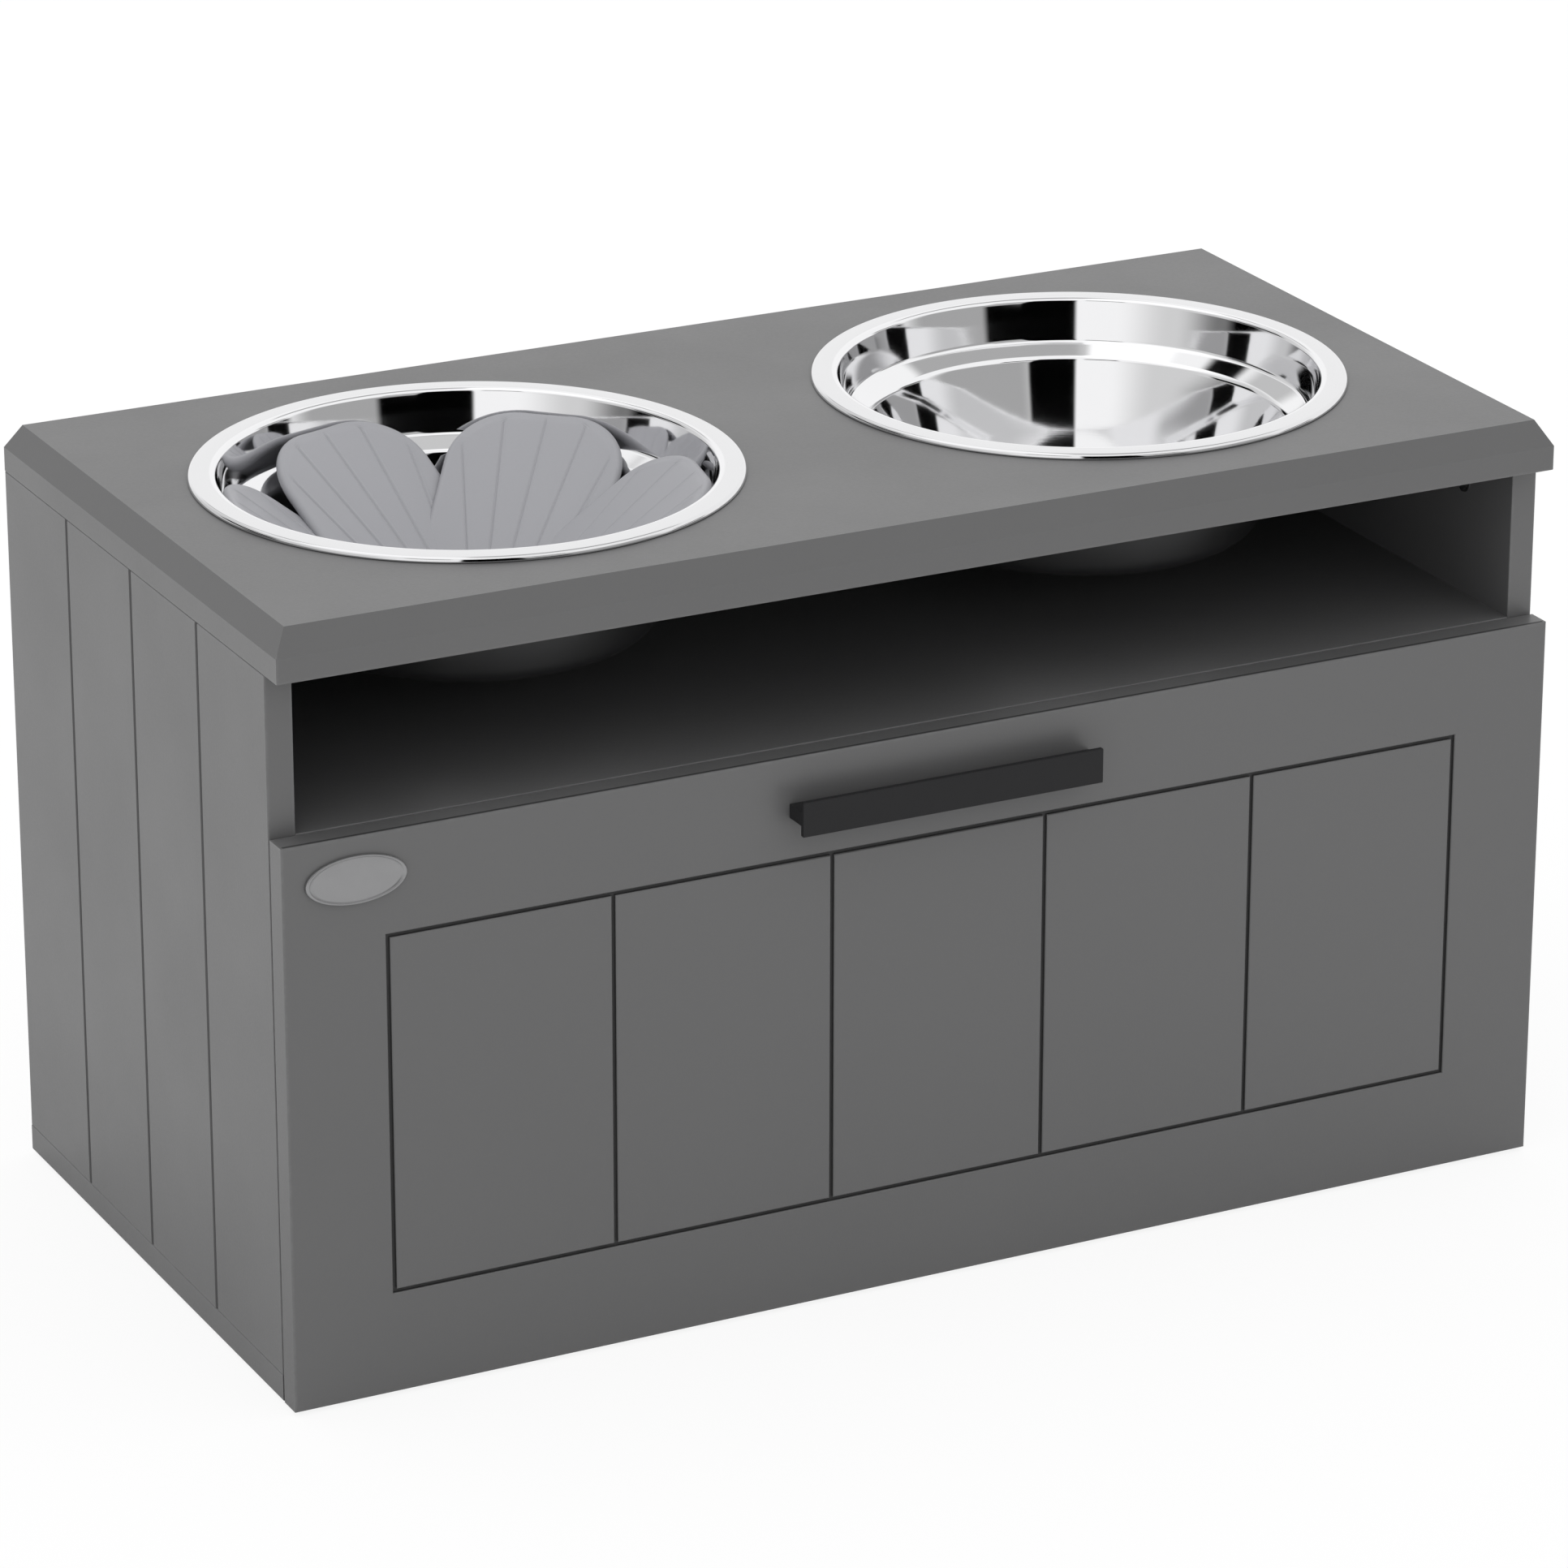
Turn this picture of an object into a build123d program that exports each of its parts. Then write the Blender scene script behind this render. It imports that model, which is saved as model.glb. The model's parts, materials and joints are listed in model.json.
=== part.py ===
"""Elevated feeder for a dog: a flat-pack cabinet with two lift-out bowls and a storage drawer.

Millimetres. +X is to the right, +Y to the back, +Z up. The origin is on the floor, in the
middle of the whole object's box, the drawer's handle included.
"""
import os
from math import atan2, cos, pi, radians, sin, tan

from build123d import *

# ---------------------------------------------------------------- cabinet sizes
WIDTH = 600.0            # across the side panels, the top board and the drawer front
DEPTH = 300.0            # from the drawer's front face to the back
HEIGHT = 343.0           # from under the bottom board to the top face
BOARD = 12.0             # sides, bottom, shelf, drawer front and drawer box
TOP_BOARD = 22.0
PANEL = 3.0              # back panel and drawer bottom
PAD_HEIGHT = 2.0         # foot pads lift the cabinet so that the drawer front clears the floor
PAD_RADIUS = 11.0
PAD_INSET = 30.0
PADS_ALONG = 3           # pads in a row along the width
EDGE_ROUND = 0.8         # eased edges of painted boards
SEAM_ROUND = 0.5         # eased edges where two boards meet in a seam

TOP_CHAMFER_IN = 6.5     # how far the top board's bevel goes in from its side
TOP_CHAMFER_DOWN = 11.0
OPENING_HEIGHT = 70.0    # of the open compartment, from its floor to the top board
FRONT_GAP = 1.0          # between the shut drawer front and the cabinet's front edges

BACK_INSET = 8.0         # from the cabinet's back edge to the back panel
GROOVE_DEPTH = 5.0       # grooves that hold the thin panels
PANEL_FIT = 0.15         # play of a thin panel in its groove, each side

SIDE_GROOVE_PITCH = 72.0     # plank width on the side panels
SIDE_GROOVE_START = 84.0     # first groove, from the drawer's front face
SIDE_GROOVES = 3
SIDE_GROOVE_WIDTH = 2.6
SIDE_GROOVE_FLOOR = 1.2
SIDE_GROOVE_DEPTH = 2.0

# ---------------------------------------------------------------- drawer sizes
DRAWER_BACK_GAP = 22.0       # from the drawer box to the back panel
DRAWER_HEADROOM = 51.0       # from the drawer box to the shelf
DRAWER_LIFT = 16.0           # from the bottom board to the drawer box
SLIDE_GAP = 12.5             # on each side of the drawer box
DRAWER_BOTTOM_LIFT = 12.0    # from the drawer side's lower edge to its groove
DRAWER_HELD = 65.0           # length of rail that stays engaged at full travel

FRAME_MARGIN = 46.0          # from the drawer front's edge to the routed frame
FRAME_PLANKS = 5
ROUTED_WIDTH = 1.8
ROUTED_DEPTH = 1.6
ROUTED_EASE = 0.35

HANDLE_WIDTH = 142.5
HANDLE_PLATE_HEIGHT = 15.4
HANDLE_PLATE = 2.5
HANDLE_WEB = 6.5
HANDLE_REACH = 13.0          # from the drawer front to the handle's face
HANDLE_DROP = 23.4           # from the drawer front's top edge to the handle's middle
HANDLE_SCREW_PITCH = 96.0
HANDLE_EDGE = 0.4

BADGE_WIDTH = 44.8
BADGE_HEIGHT = 21.0
BADGE_THICKNESS = 1.6
BADGE_RIM = 1.1
BADGE_RECESS = 0.4
BADGE_FROM_SIDE = 32.2       # from the drawer front's left edge to the badge's middle
BADGE_DROP = 18.4            # from the drawer front's top edge to the badge's middle

# ---------------------------------------------------------------- bowl sizes
BOWL_INWARD = 2.0            # from the middle of the board's half to the bowl's axis
BOWL_SHEET = 0.8
BOWL_DEPTH = 67.9            # from the board's top face to the underside of the bowl
BOWL_RIM = 118.4             # outside radius of the rim
BOWL_RIM_WIDTH = 11.1        # from the rim's edge to the neck
BOWL_NECK_FLARE = 3.8        # how much the neck narrows down to the ledge
BOWL_LEDGE_WIDTH = 10.1
BOWL_WALL_FLARE = 14.2       # how much the wall narrows from the ledge to the floor
BOWL_BASE_ROUND = 10.7
BOWL_LEDGE_LOW = 22.0        # depth of the ledge's inner edge
BOWL_LEDGE_HIGH = 17.0
BOWL_LEDGE_ROUND = 3.6
BOWL_NECK_ROUND = 1.6
BOWL_RIM_HEIGHT = 2.5
BOWL_RIM_ROUND = 1.2
HOLE_CLEARANCE = 1.2         # between the bowl's neck and the hole

# ---------------------------------------------------------------- slow-feeder insert
PETALS = 6
PETAL_TURN = -21.7           # direction of the first petal's foot, from +X
PETAL_TWIST = 10.3           # how far a petal's lean turns off the direction of its foot
PETAL_TIP_GAP = 5.0782       # from the bowl's neck in to the middle of a petal's tip
PETAL_LEDGE_GAP = 10.2       # least room from the ledge's inner edge in to a petal's middle
PETAL_INSET = 45.6           # from the bowl's wall at the floor to the middle of a petal's foot
PETAL_BELOW = 7.0            # from the board's top face down to a petal's tip
PETAL_LAP = 40.8             # how much a petal is wider than its foot's share of the ring
PETAL_BEND = 182.0           # radius of the hollow across a petal's width
PETAL_CORNER = 30.0          # radius of the corners at a petal's tip
PETAL_THICKNESS = 4.6
PETAL_ROUND = 1.8
RIBS = 5                     # raised lines that fan out over a petal's inner face
RIB_WIDTH = 1.0
RIB_HEIGHT = 0.5
RIB_SPREAD = 7.5             # degrees between two ribs
RIB_ORIGIN = 62.0            # how far below the foot the ribs would meet
RIB_MARGIN = 6.0             # from the ribs' ends to the petal's outline
INSERT_BASE_EDGE = 18.4      # from the middle of a petal's foot to the base's edge
INSERT_BASE = 3.2
INSERT_LIFT = 4.5            # from the bowl's floor to the insert's base
CUP_RADIUS = 20.0            # suction cup under the insert
CUP_LIP = 1.2
CUP_STEM = 5.0
CUP_SHOULDER = 10.0
CUP_NECK = 3.5
CUP_BUTTON = 1.6
CUP_FIT = 0.1                # between the cup's neck and the insert
CUP_GAP = 0.05               # between the cup's lip and the bowl

# ---------------------------------------------------------------- slides
RAIL_SHORT = 5.0             # how much shorter a rail is than the drawer side
RAIL_SHEET = 1.2
RAIL_SETBACK = 1.0           # cabinet rail, behind the side panel's front edge
CHANNEL_HEADROOM = 1.45      # over the rear roller inside the cabinet rail
CHANNEL_LIFT = 18.0          # from the bottom board to the cabinet rail
CHANNEL_CLEARANCE = 0.6      # between the cabinet rail's flanges and the drawer rail
FRONT_ROLLER = 7.5           # roller radii
REAR_ROLLER = 8.75
ROLLER_SIDE_GAP = 0.55       # from the rear roller's pin to the rail screws' heads
ROLLER_INSET = 9.0           # from the end of the rail to the roller's axis
ROLLER_GAP = 0.05            # rolling clearance
ROLLER_DISH = 1.0
ROLLER_HUB = 3.6
ROLLER_RIM = 1.8
PIN_RADIUS = 2.0
PIN_FIT = 0.05
PIN_HEAD_RADIUS = 3.2
PIN_HEAD = 0.8
RUNNER_SIDE_GAP = 1.4        # from the running flange to the cabinet rail's web
RUNNER_CLEAR = 1.5           # from the running flange's end to the rear roller
STOP_HEIGHT = 2.3            # dimple that the rear roller meets at full travel
STOP_LENGTH = 2.4
STOP_WIDTH = 6.0
STOP_GAP = 0.3

# ---------------------------------------------------------------- fittings
SCREW_RADIUS = 1.75
SCREW_HEAD_RADIUS = 3.2
SCREW_HEAD = 1.1
RAIL_SCREW_LENGTH = 9.0
RUNNER_SCREW_LENGTH = 10.0
FRAME_SCREW_RADIUS = 2.5
FRAME_SCREW_HEAD_RADIUS = 4.8
FRAME_SCREW_LENGTH = 35.0
BACK_SCREW_LENGTH = 38.0
CAM_RADIUS = 6.0
CAM_DEPTH = 9.0
CAM_REACH = 18.0             # from the joint to the cam's axis
CAM_SLOT = 1.2
CAM_CROSS = 9.0              # length of the driver's cross
BOLT_RADIUS = 2.0
BOLT_THREAD_RADIUS = 2.6
BOLT_THREAD = 8.0
BOLT_HEAD_RADIUS = 2.6
BOLT_HEAD = 2.4
BOLT_HOLE = 0.4              # radial play of a bolt in its board and its cam
DOWEL_RADIUS = 3.0
DOWEL_DEPTH = 10.0           # into the board with the edge joint
DOWEL_BLIND = 7.0            # into the face of the other board
DOWEL_END = 0.4
HANDLE_SCREW_RADIUS = 2.0
HANDLE_SCREW_HEAD_RADIUS = 4.0
HANDLE_SCREW_HEAD = 2.2
HANDLE_SCREW_BITE = 8.0
JOINT_INSET = 40.0           # from a board's end to the nearest cam
DOWEL_PITCH = 35.0           # from a cam to the dowel next to it
DRAWER_JOINT_INSET = 30.0
DRAWER_DOWEL_PITCH = 26.0
FRAME_SCREW_INSET = 38.0
BACK_SCREW_INSET = 34.0
RAIL_SCREW_INSET = 32.0
RUNNER_SCREW_INSET = 30.0

# ---------------------------------------------------------------- places worked out from the sizes
FRONT_Y = (HANDLE_REACH - DEPTH) / 2          # drawer front's face
BACK_Y = FRONT_Y + DEPTH
DRAWER_REAR_OF_FRONT = FRONT_Y + BOARD
CASE_FRONT_Y = DRAWER_REAR_OF_FRONT + FRONT_GAP
CASE_DEPTH = BACK_Y - CASE_FRONT_Y
CASE_MID_Y = (CASE_FRONT_Y + BACK_Y) / 2
MID_Y = FRONT_Y + DEPTH / 2
PANEL_FRONT_Y = BACK_Y - BACK_INSET - PANEL   # back panel's inner face

FLOOR_Z = PAD_HEIGHT                          # underside of the bottom board
CASE_Z = FLOOR_Z + BOARD                      # top of the bottom board
TOP_Z = FLOOR_Z + HEIGHT
UNDER_TOP_Z = TOP_Z - TOP_BOARD
SHELF_TOP_Z = UNDER_TOP_Z - OPENING_HEIGHT
SHELF_Z = SHELF_TOP_Z - BOARD
INNER_X = WIDTH / 2 - BOARD                   # inner face of a side panel
DRAWER_FRONT_HEIGHT = SHELF_TOP_Z - FLOOR_Z
HANDLE_Z = SHELF_TOP_Z - HANDLE_DROP

BOX_X = INNER_X - SLIDE_GAP                   # outer face of a drawer side
BOX_INNER_X = BOX_X - BOARD
BOX_Z = CASE_Z + DRAWER_LIFT
BOX_TOP_Z = SHELF_Z - DRAWER_HEADROOM
BOX_BACK_Y = PANEL_FRONT_Y - DRAWER_BACK_GAP
BOX_BACK_INNER_Y = BOX_BACK_Y - BOARD
DRAWER_BOTTOM_Z = BOX_Z + DRAWER_BOTTOM_LIFT

RAIL_LENGTH = BOX_BACK_Y - DRAWER_REAR_OF_FRONT - RAIL_SHORT
DRAWER_TRAVEL = RAIL_LENGTH - DRAWER_HELD
CHANNEL_Z = CASE_Z + CHANNEL_LIFT             # underside of the cabinet rail
CHANNEL_FLOOR_Z = CHANNEL_Z + RAIL_SHEET
RAIL_FRONT_Y = CASE_FRONT_Y + RAIL_SETBACK
RAIL_BACK_Y = RAIL_FRONT_Y + RAIL_LENGTH
CHANNEL_HEIGHT = 2 * REAR_ROLLER + ROLLER_GAP + CHANNEL_HEADROOM
CHANNEL_X = BOX_X + RAIL_SHEET + CHANNEL_CLEARANCE   # free edge of the channel's flanges
ROLLER_REACH = PIN_FIT + PIN_HEAD + ROLLER_SIDE_GAP + SCREW_HEAD
ROLLER_WIDTH = INNER_X - RAIL_SHEET - CHANNEL_X - ROLLER_REACH
RUNNER_REACH = SLIDE_GAP - 2 * RAIL_SHEET - RUNNER_SIDE_GAP   # width of the running flange
RUNNER_BACK_Y = DRAWER_REAR_OF_FRONT + RAIL_LENGTH
FRONT_ROLLER_Y = RAIL_FRONT_Y + ROLLER_INSET
FRONT_ROLLER_Z = CHANNEL_FLOOR_Z + FRONT_ROLLER
REAR_ROLLER_Y = RUNNER_BACK_Y - ROLLER_INSET
REAR_ROLLER_Z = CHANNEL_FLOOR_Z + REAR_ROLLER + ROLLER_GAP
RUNNER_Z = FRONT_ROLLER_Z + FRONT_ROLLER + ROLLER_GAP   # underside of the running flange

BOWL_SPACING = WIDTH / 2 - 2 * BOWL_INWARD    # between the bowls' axes
BOWL_NECK = BOWL_RIM - BOWL_RIM_WIDTH         # outside radius just under the rim
BOWL_LEDGE_OUTER = BOWL_NECK - BOWL_NECK_FLARE
BOWL_LEDGE_INNER = BOWL_LEDGE_OUTER - BOWL_LEDGE_WIDTH
BOWL_BASE_RADIUS = BOWL_LEDGE_INNER - BOWL_WALL_FLARE   # where the floor and the wall would meet
HOLE_RADIUS = BOWL_NECK + HOLE_CLEARANCE
BOWL_FLOOR_Z = TOP_Z - BOWL_DEPTH + BOWL_SHEET          # inside the bowl
SIDES = {"left": -1, "right": 1}


def save(part, name):
    """Label a finished piece and write it under its name."""
    part.part.label = name
    export_step(part.part, f"parts/{name}.step")


def along_x(x, y, z, direction=1):
    """Plane whose normal runs along X, with its own Y axis upwards."""
    return Plane(origin=(x, y, z), x_dir=(0, 1, 0), z_dir=(direction, 0, 0))


def along_y(x, y, z, direction=1):
    """Plane whose normal runs along Y."""
    return Plane(origin=(x, y, z), x_dir=(1, 0, 0), z_dir=(0, direction, 0))


def along_z(x, y, z, direction=1):
    """Plane whose normal runs along Z."""
    return Plane(origin=(x, y, z), x_dir=(1, 0, 0), z_dir=(0, 0, direction))


def add_cylinder(plane, radius, length, mode=Mode.ADD):
    """Extrude a disc from a plane along its normal."""
    with BuildSketch(plane) as disc:
        Circle(radius)
    extrude(disc.sketch, amount=length, mode=mode)


def add_block(x_range, y_range, z_range, mode=Mode.ADD):
    """Box between two corners."""
    x_size = x_range[1] - x_range[0]
    y_size = y_range[1] - y_range[0]
    middle = (sum(x_range) / 2, sum(y_range) / 2)
    with BuildSketch(Plane.XY.offset(z_range[0])) as base:
        with Locations(middle):
            Rectangle(x_size, y_size)
    extrude(base.sketch, amount=z_range[1] - z_range[0], mode=mode)


def span(side, near, far):
    """Range in X between two distances from the middle, on one side."""
    return tuple(sorted((side * near, side * far)))


# ---------------------------------------------------------------- where the fittings go
JOINT_CAM_Y = (CASE_FRONT_Y + JOINT_INSET, PANEL_FRONT_Y - JOINT_INSET)
JOINT_DOWEL_Y = (JOINT_CAM_Y[0] + DOWEL_PITCH, JOINT_CAM_Y[1] - DOWEL_PITCH)
DRAWER_DOWEL_LOW_Z = BOX_Z + DRAWER_JOINT_INSET
DRAWER_CAM_HIGH_Z = BOX_TOP_Z - DRAWER_JOINT_INSET
DRAWER_CAM_Z = (DRAWER_DOWEL_LOW_Z + DRAWER_DOWEL_PITCH, DRAWER_CAM_HIGH_Z)
DRAWER_DOWEL_Z = (DRAWER_DOWEL_LOW_Z, DRAWER_CAM_HIGH_Z - DRAWER_DOWEL_PITCH)
FRAME_SCREW_Y = (CASE_FRONT_Y + FRAME_SCREW_INSET, CASE_MID_Y, BACK_Y - FRAME_SCREW_INSET)
BACK_SCREW_Z = (BOX_Z + BACK_SCREW_INSET, BOX_TOP_Z - BACK_SCREW_INSET)
RAIL_SCREW_Y = (RAIL_FRONT_Y + RAIL_SCREW_INSET, (RAIL_FRONT_Y + RAIL_BACK_Y) / 2,
                RAIL_BACK_Y - RAIL_SCREW_INSET)
RUNNER_SCREW_Y = (DRAWER_REAR_OF_FRONT + RUNNER_SCREW_INSET, (DRAWER_REAR_OF_FRONT + RUNNER_BACK_Y) / 2,
                  RUNNER_BACK_Y - RUNNER_SCREW_INSET)
EDGE_X = WIDTH / 2 - BOARD / 2                # middle of a side panel's thickness
BOX_EDGE_X = BOX_X - BOARD / 2                # middle of a drawer side's thickness
SHELF_MID_Z = SHELF_Z + BOARD / 2
RAIL_SCREW_Z = CHANNEL_FLOOR_Z + CHANNEL_HEIGHT / 2


def top_joint(kind_y):
    """Joint points between the side panels and the top board, with the way into each board."""
    points = []
    for side in SIDES.values():
        for y in kind_y:
            points.append(((side * EDGE_X, y, UNDER_TOP_Z), (0, 0, 1), (-side, 0, 0)))
    return points


def shelf_joint(kind_y):
    """Joint points between the shelf's ends and the side panels."""
    points = []
    for side in SIDES.values():
        for y in kind_y:
            points.append(((side * INNER_X, y, SHELF_MID_Z), (side, 0, 0), (0, 0, -1)))
    return points


def drawer_joint(kind_z):
    """Joint points between the drawer sides and the drawer front."""
    points = []
    for side in SIDES.values():
        for z in kind_z:
            points.append(((side * BOX_EDGE_X, DRAWER_REAR_OF_FRONT, z), (0, -1, 0), (side, 0, 0)))
    return points


def shifted(point, direction, distance):
    """Point moved along a direction."""
    return tuple(p + d * distance for p, d in zip(point, direction))


def bolt_plane(point, into):
    """Plane at a joint point that looks into the faced board."""
    return Plane(origin=point, z_dir=into)


def add_bolts(joints):
    """Cam bolts: a thread in the faced board, a shank and a head inside the cam."""
    for point, into, _ in joints:
        add_cylinder(bolt_plane(point, into), BOLT_THREAD_RADIUS, BOLT_THREAD)
        add_cylinder(bolt_plane(point, into), BOLT_RADIUS, -CAM_REACH)
        head = shifted(point, into, -CAM_REACH - BOLT_HEAD / 2)
        add_cylinder(bolt_plane(head, into), BOLT_HEAD_RADIUS, BOLT_HEAD)


def add_cams(joints):
    """Cam nuts: a disc in the edged board's face, bored for the bolt and slotted for a driver."""
    for point, into, face in joints:
        middle = shifted(point, into, -CAM_REACH)
        outer = shifted(middle, face, BOARD / 2)
        disc = Plane(origin=outer, x_dir=into, z_dir=face)
        add_cylinder(disc, CAM_RADIUS, -CAM_DEPTH)
        with BuildSketch(disc) as cross:
            Rectangle(CAM_CROSS, CAM_SLOT)
            Rectangle(CAM_SLOT, CAM_CROSS)
        extrude(cross.sketch, amount=-CAM_SLOT, mode=Mode.SUBTRACT)
        start = shifted(middle, into, -BOLT_HEAD)
        add_cylinder(bolt_plane(start, into), BOLT_HEAD_RADIUS + BOLT_HOLE, CAM_REACH, Mode.SUBTRACT)


def cut_cam_seats(joints):
    """Blind seats for the cams and the bolt's way to them, in the edged boards."""
    for point, into, face in joints:
        middle = shifted(point, into, -CAM_REACH)
        outer = shifted(middle, face, BOARD / 2)
        add_cylinder(Plane(origin=outer, z_dir=face), CAM_RADIUS, -CAM_DEPTH, Mode.SUBTRACT)
        add_cylinder(bolt_plane(point, into), BOLT_HEAD_RADIUS + BOLT_HOLE, -CAM_REACH, Mode.SUBTRACT)


def cut_bolt_holes(joints):
    """Pilot holes for the bolts' threads, in the faced boards."""
    for point, into, _ in joints:
        add_cylinder(bolt_plane(point, into), BOLT_THREAD_RADIUS, BOLT_THREAD, Mode.SUBTRACT)


def add_dowels(joints):
    """Wooden dowels across the joints."""
    for point, into, _ in joints:
        foot = bolt_plane(shifted(point, into, -DOWEL_DEPTH), into)
        add_cylinder(foot, DOWEL_RADIUS, DOWEL_DEPTH + DOWEL_BLIND)


def cut_dowel_edges(joints):
    """Dowel holes in the edged boards."""
    for point, into, _ in joints:
        add_cylinder(bolt_plane(point, into), DOWEL_RADIUS, -DOWEL_DEPTH - DOWEL_END, Mode.SUBTRACT)


def cut_dowel_faces(joints):
    """Dowel holes in the faced boards."""
    for point, into, _ in joints:
        add_cylinder(bolt_plane(point, into), DOWEL_RADIUS, DOWEL_BLIND + DOWEL_END, Mode.SUBTRACT)


def on_side(joints, side):
    """The joints of one side of the cabinet or of the drawer."""
    return [joint for joint in joints if joint[0][0] * side > 0]


TOP_CAMS = top_joint(JOINT_CAM_Y)
TOP_DOWELS = top_joint(JOINT_DOWEL_Y)
SHELF_CAMS = shelf_joint(JOINT_CAM_Y)
SHELF_DOWELS = shelf_joint(JOINT_DOWEL_Y)
DRAWER_CAMS = drawer_joint(DRAWER_CAM_Z)
DRAWER_DOWELS = drawer_joint(DRAWER_DOWEL_Z)

os.makedirs("parts", exist_ok=True)


# ---------------------------------------------------------------- cabinet boards
def back_groove_y():
    """Range in Y of the grooves that hold the back panel."""
    return (PANEL_FRONT_Y - PANEL_FIT, PANEL_FRONT_Y + PANEL + PANEL_FIT)


def build_top_board():
    """Thick board with a bevelled rim, two bowl holes and the joints' holes underneath."""
    with BuildPart() as board:
        with BuildSketch(Plane.XY.offset(UNDER_TOP_Z)):
            with Locations((0, MID_Y)):
                Rectangle(WIDTH, DEPTH)
            with Locations((-BOWL_SPACING / 2, MID_Y), (BOWL_SPACING / 2, MID_Y)):
                Circle(HOLE_RADIUS, mode=Mode.SUBTRACT)
        extrude(amount=TOP_BOARD)
        top = board.faces().sort_by(Axis.Z)[-1]
        bottom = board.faces().sort_by(Axis.Z)[0]
        under_edges = bottom.outer_wire().edges()
        chamfer(top.outer_wire().edges(), TOP_CHAMFER_IN, TOP_CHAMFER_DOWN, reference=top)
        fillet(under_edges, SEAM_ROUND)
        reach = INNER_X + GROOVE_DEPTH
        add_block((-reach, reach), back_groove_y(), (UNDER_TOP_Z, UNDER_TOP_Z + GROOVE_DEPTH), Mode.SUBTRACT)
        cut_bolt_holes(TOP_CAMS)
        cut_dowel_faces(TOP_DOWELS)
    return board


def build_side_panel(side):
    """Side panel with plank grooves outside and the holes for its fittings."""
    outer = side * WIDTH / 2
    with BuildPart() as panel:
        add_block(span(side, INNER_X, WIDTH / 2), (CASE_FRONT_Y, BACK_Y), (CASE_Z, UNDER_TOP_Z))
        outer_face = panel.faces().sort_by(Axis.X)[0 if side < 0 else -1]
        fillet(outer_face.edges(), SEAM_ROUND)
        inner_front = panel.edges().filter_by(Axis.Z).filter_by_position(Axis.Y, CASE_FRONT_Y, CASE_FRONT_Y)
        fillet(inner_front, SEAM_ROUND)
        for index in range(SIDE_GROOVES):
            groove_y = FRONT_Y + SIDE_GROOVE_START + index * SIDE_GROOVE_PITCH
            half = SIDE_GROOVE_WIDTH / 2
            flat = SIDE_GROOVE_FLOOR / 2
            with BuildSketch(Plane.XY.offset(CASE_Z)):
                with BuildLine():
                    Polyline(
                        (outer + side, groove_y - half),
                        (outer, groove_y - half),
                        (outer - side * SIDE_GROOVE_DEPTH, groove_y - flat),
                        (outer - side * SIDE_GROOVE_DEPTH, groove_y + flat),
                        (outer, groove_y + half),
                        (outer + side, groove_y + half),
                        close=True,
                    )
                make_face()
            extrude(amount=UNDER_TOP_Z - CASE_Z, mode=Mode.SUBTRACT)
        add_block(span(side, INNER_X, INNER_X + GROOVE_DEPTH), back_groove_y(), (CASE_Z, UNDER_TOP_Z),
                  Mode.SUBTRACT)
        cut_cam_seats(on_side(TOP_CAMS, side))
        cut_dowel_edges(on_side(TOP_DOWELS, side))
        cut_bolt_holes(on_side(SHELF_CAMS, side))
        cut_dowel_faces(on_side(SHELF_DOWELS, side))
        for y in FRAME_SCREW_Y:
            add_cylinder(along_z(side * EDGE_X, y, CASE_Z), FRAME_SCREW_RADIUS, FRAME_SCREW_LENGTH - BOARD,
                         Mode.SUBTRACT)
        for y in RAIL_SCREW_Y:
            add_cylinder(along_x(side * INNER_X, y, RAIL_SCREW_Z, side), SCREW_RADIUS, RAIL_SCREW_LENGTH,
                         Mode.SUBTRACT)
    return panel


def build_bottom_board():
    """Bottom board, grooved for the back panel and countersunk underneath."""
    with BuildPart() as board:
        add_block((-WIDTH / 2, WIDTH / 2), (CASE_FRONT_Y, BACK_Y), (FLOOR_Z, CASE_Z))
        for x in (-WIDTH / 2, WIDTH / 2):
            ends = board.edges().filter_by(Axis.Y).filter_by_position(Axis.X, x, x)
            fillet(ends, SEAM_ROUND)
        reach = INNER_X + GROOVE_DEPTH
        add_block((-reach, reach), back_groove_y(), (CASE_Z - GROOVE_DEPTH, CASE_Z), Mode.SUBTRACT)
        for side in SIDES.values():
            for y in FRAME_SCREW_Y:
                under = along_z(side * EDGE_X, y, FLOOR_Z)
                add_cylinder(under, FRAME_SCREW_RADIUS, BOARD, Mode.SUBTRACT)
                add_cone(under, Mode.SUBTRACT)
    return board


def add_cone(plane, mode=Mode.ADD):
    """Countersunk head of a frame screw, flush with the plane."""
    with BuildSketch(plane) as head:
        Circle(FRAME_SCREW_HEAD_RADIUS)
    with BuildSketch(plane.offset(FRAME_SCREW_HEAD_RADIUS - FRAME_SCREW_RADIUS)) as shank:
        Circle(FRAME_SCREW_RADIUS)
    loft([head.sketch, shank.sketch], mode=mode)


def build_shelf_board():
    """Floor of the open compartment, held between the side panels."""
    with BuildPart() as board:
        add_block((-INNER_X, INNER_X), (CASE_FRONT_Y, PANEL_FRONT_Y), (SHELF_Z, SHELF_TOP_Z))
        front = board.edges().filter_by(Axis.X).filter_by_position(Axis.Y, CASE_FRONT_Y, CASE_FRONT_Y)
        fillet(front, SEAM_ROUND)
        cut_cam_seats(SHELF_CAMS)
        cut_dowel_edges(SHELF_DOWELS)
    return board


def build_back_panel():
    """Thin back, standing in the grooves."""
    play = 2 * PANEL_FIT
    reach = INNER_X + GROOVE_DEPTH - play
    with BuildPart() as panel:
        add_block((-reach, reach), (PANEL_FRONT_Y, PANEL_FRONT_Y + PANEL),
                  (CASE_Z - GROOVE_DEPTH, UNDER_TOP_Z + GROOVE_DEPTH - play))
    return panel


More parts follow.
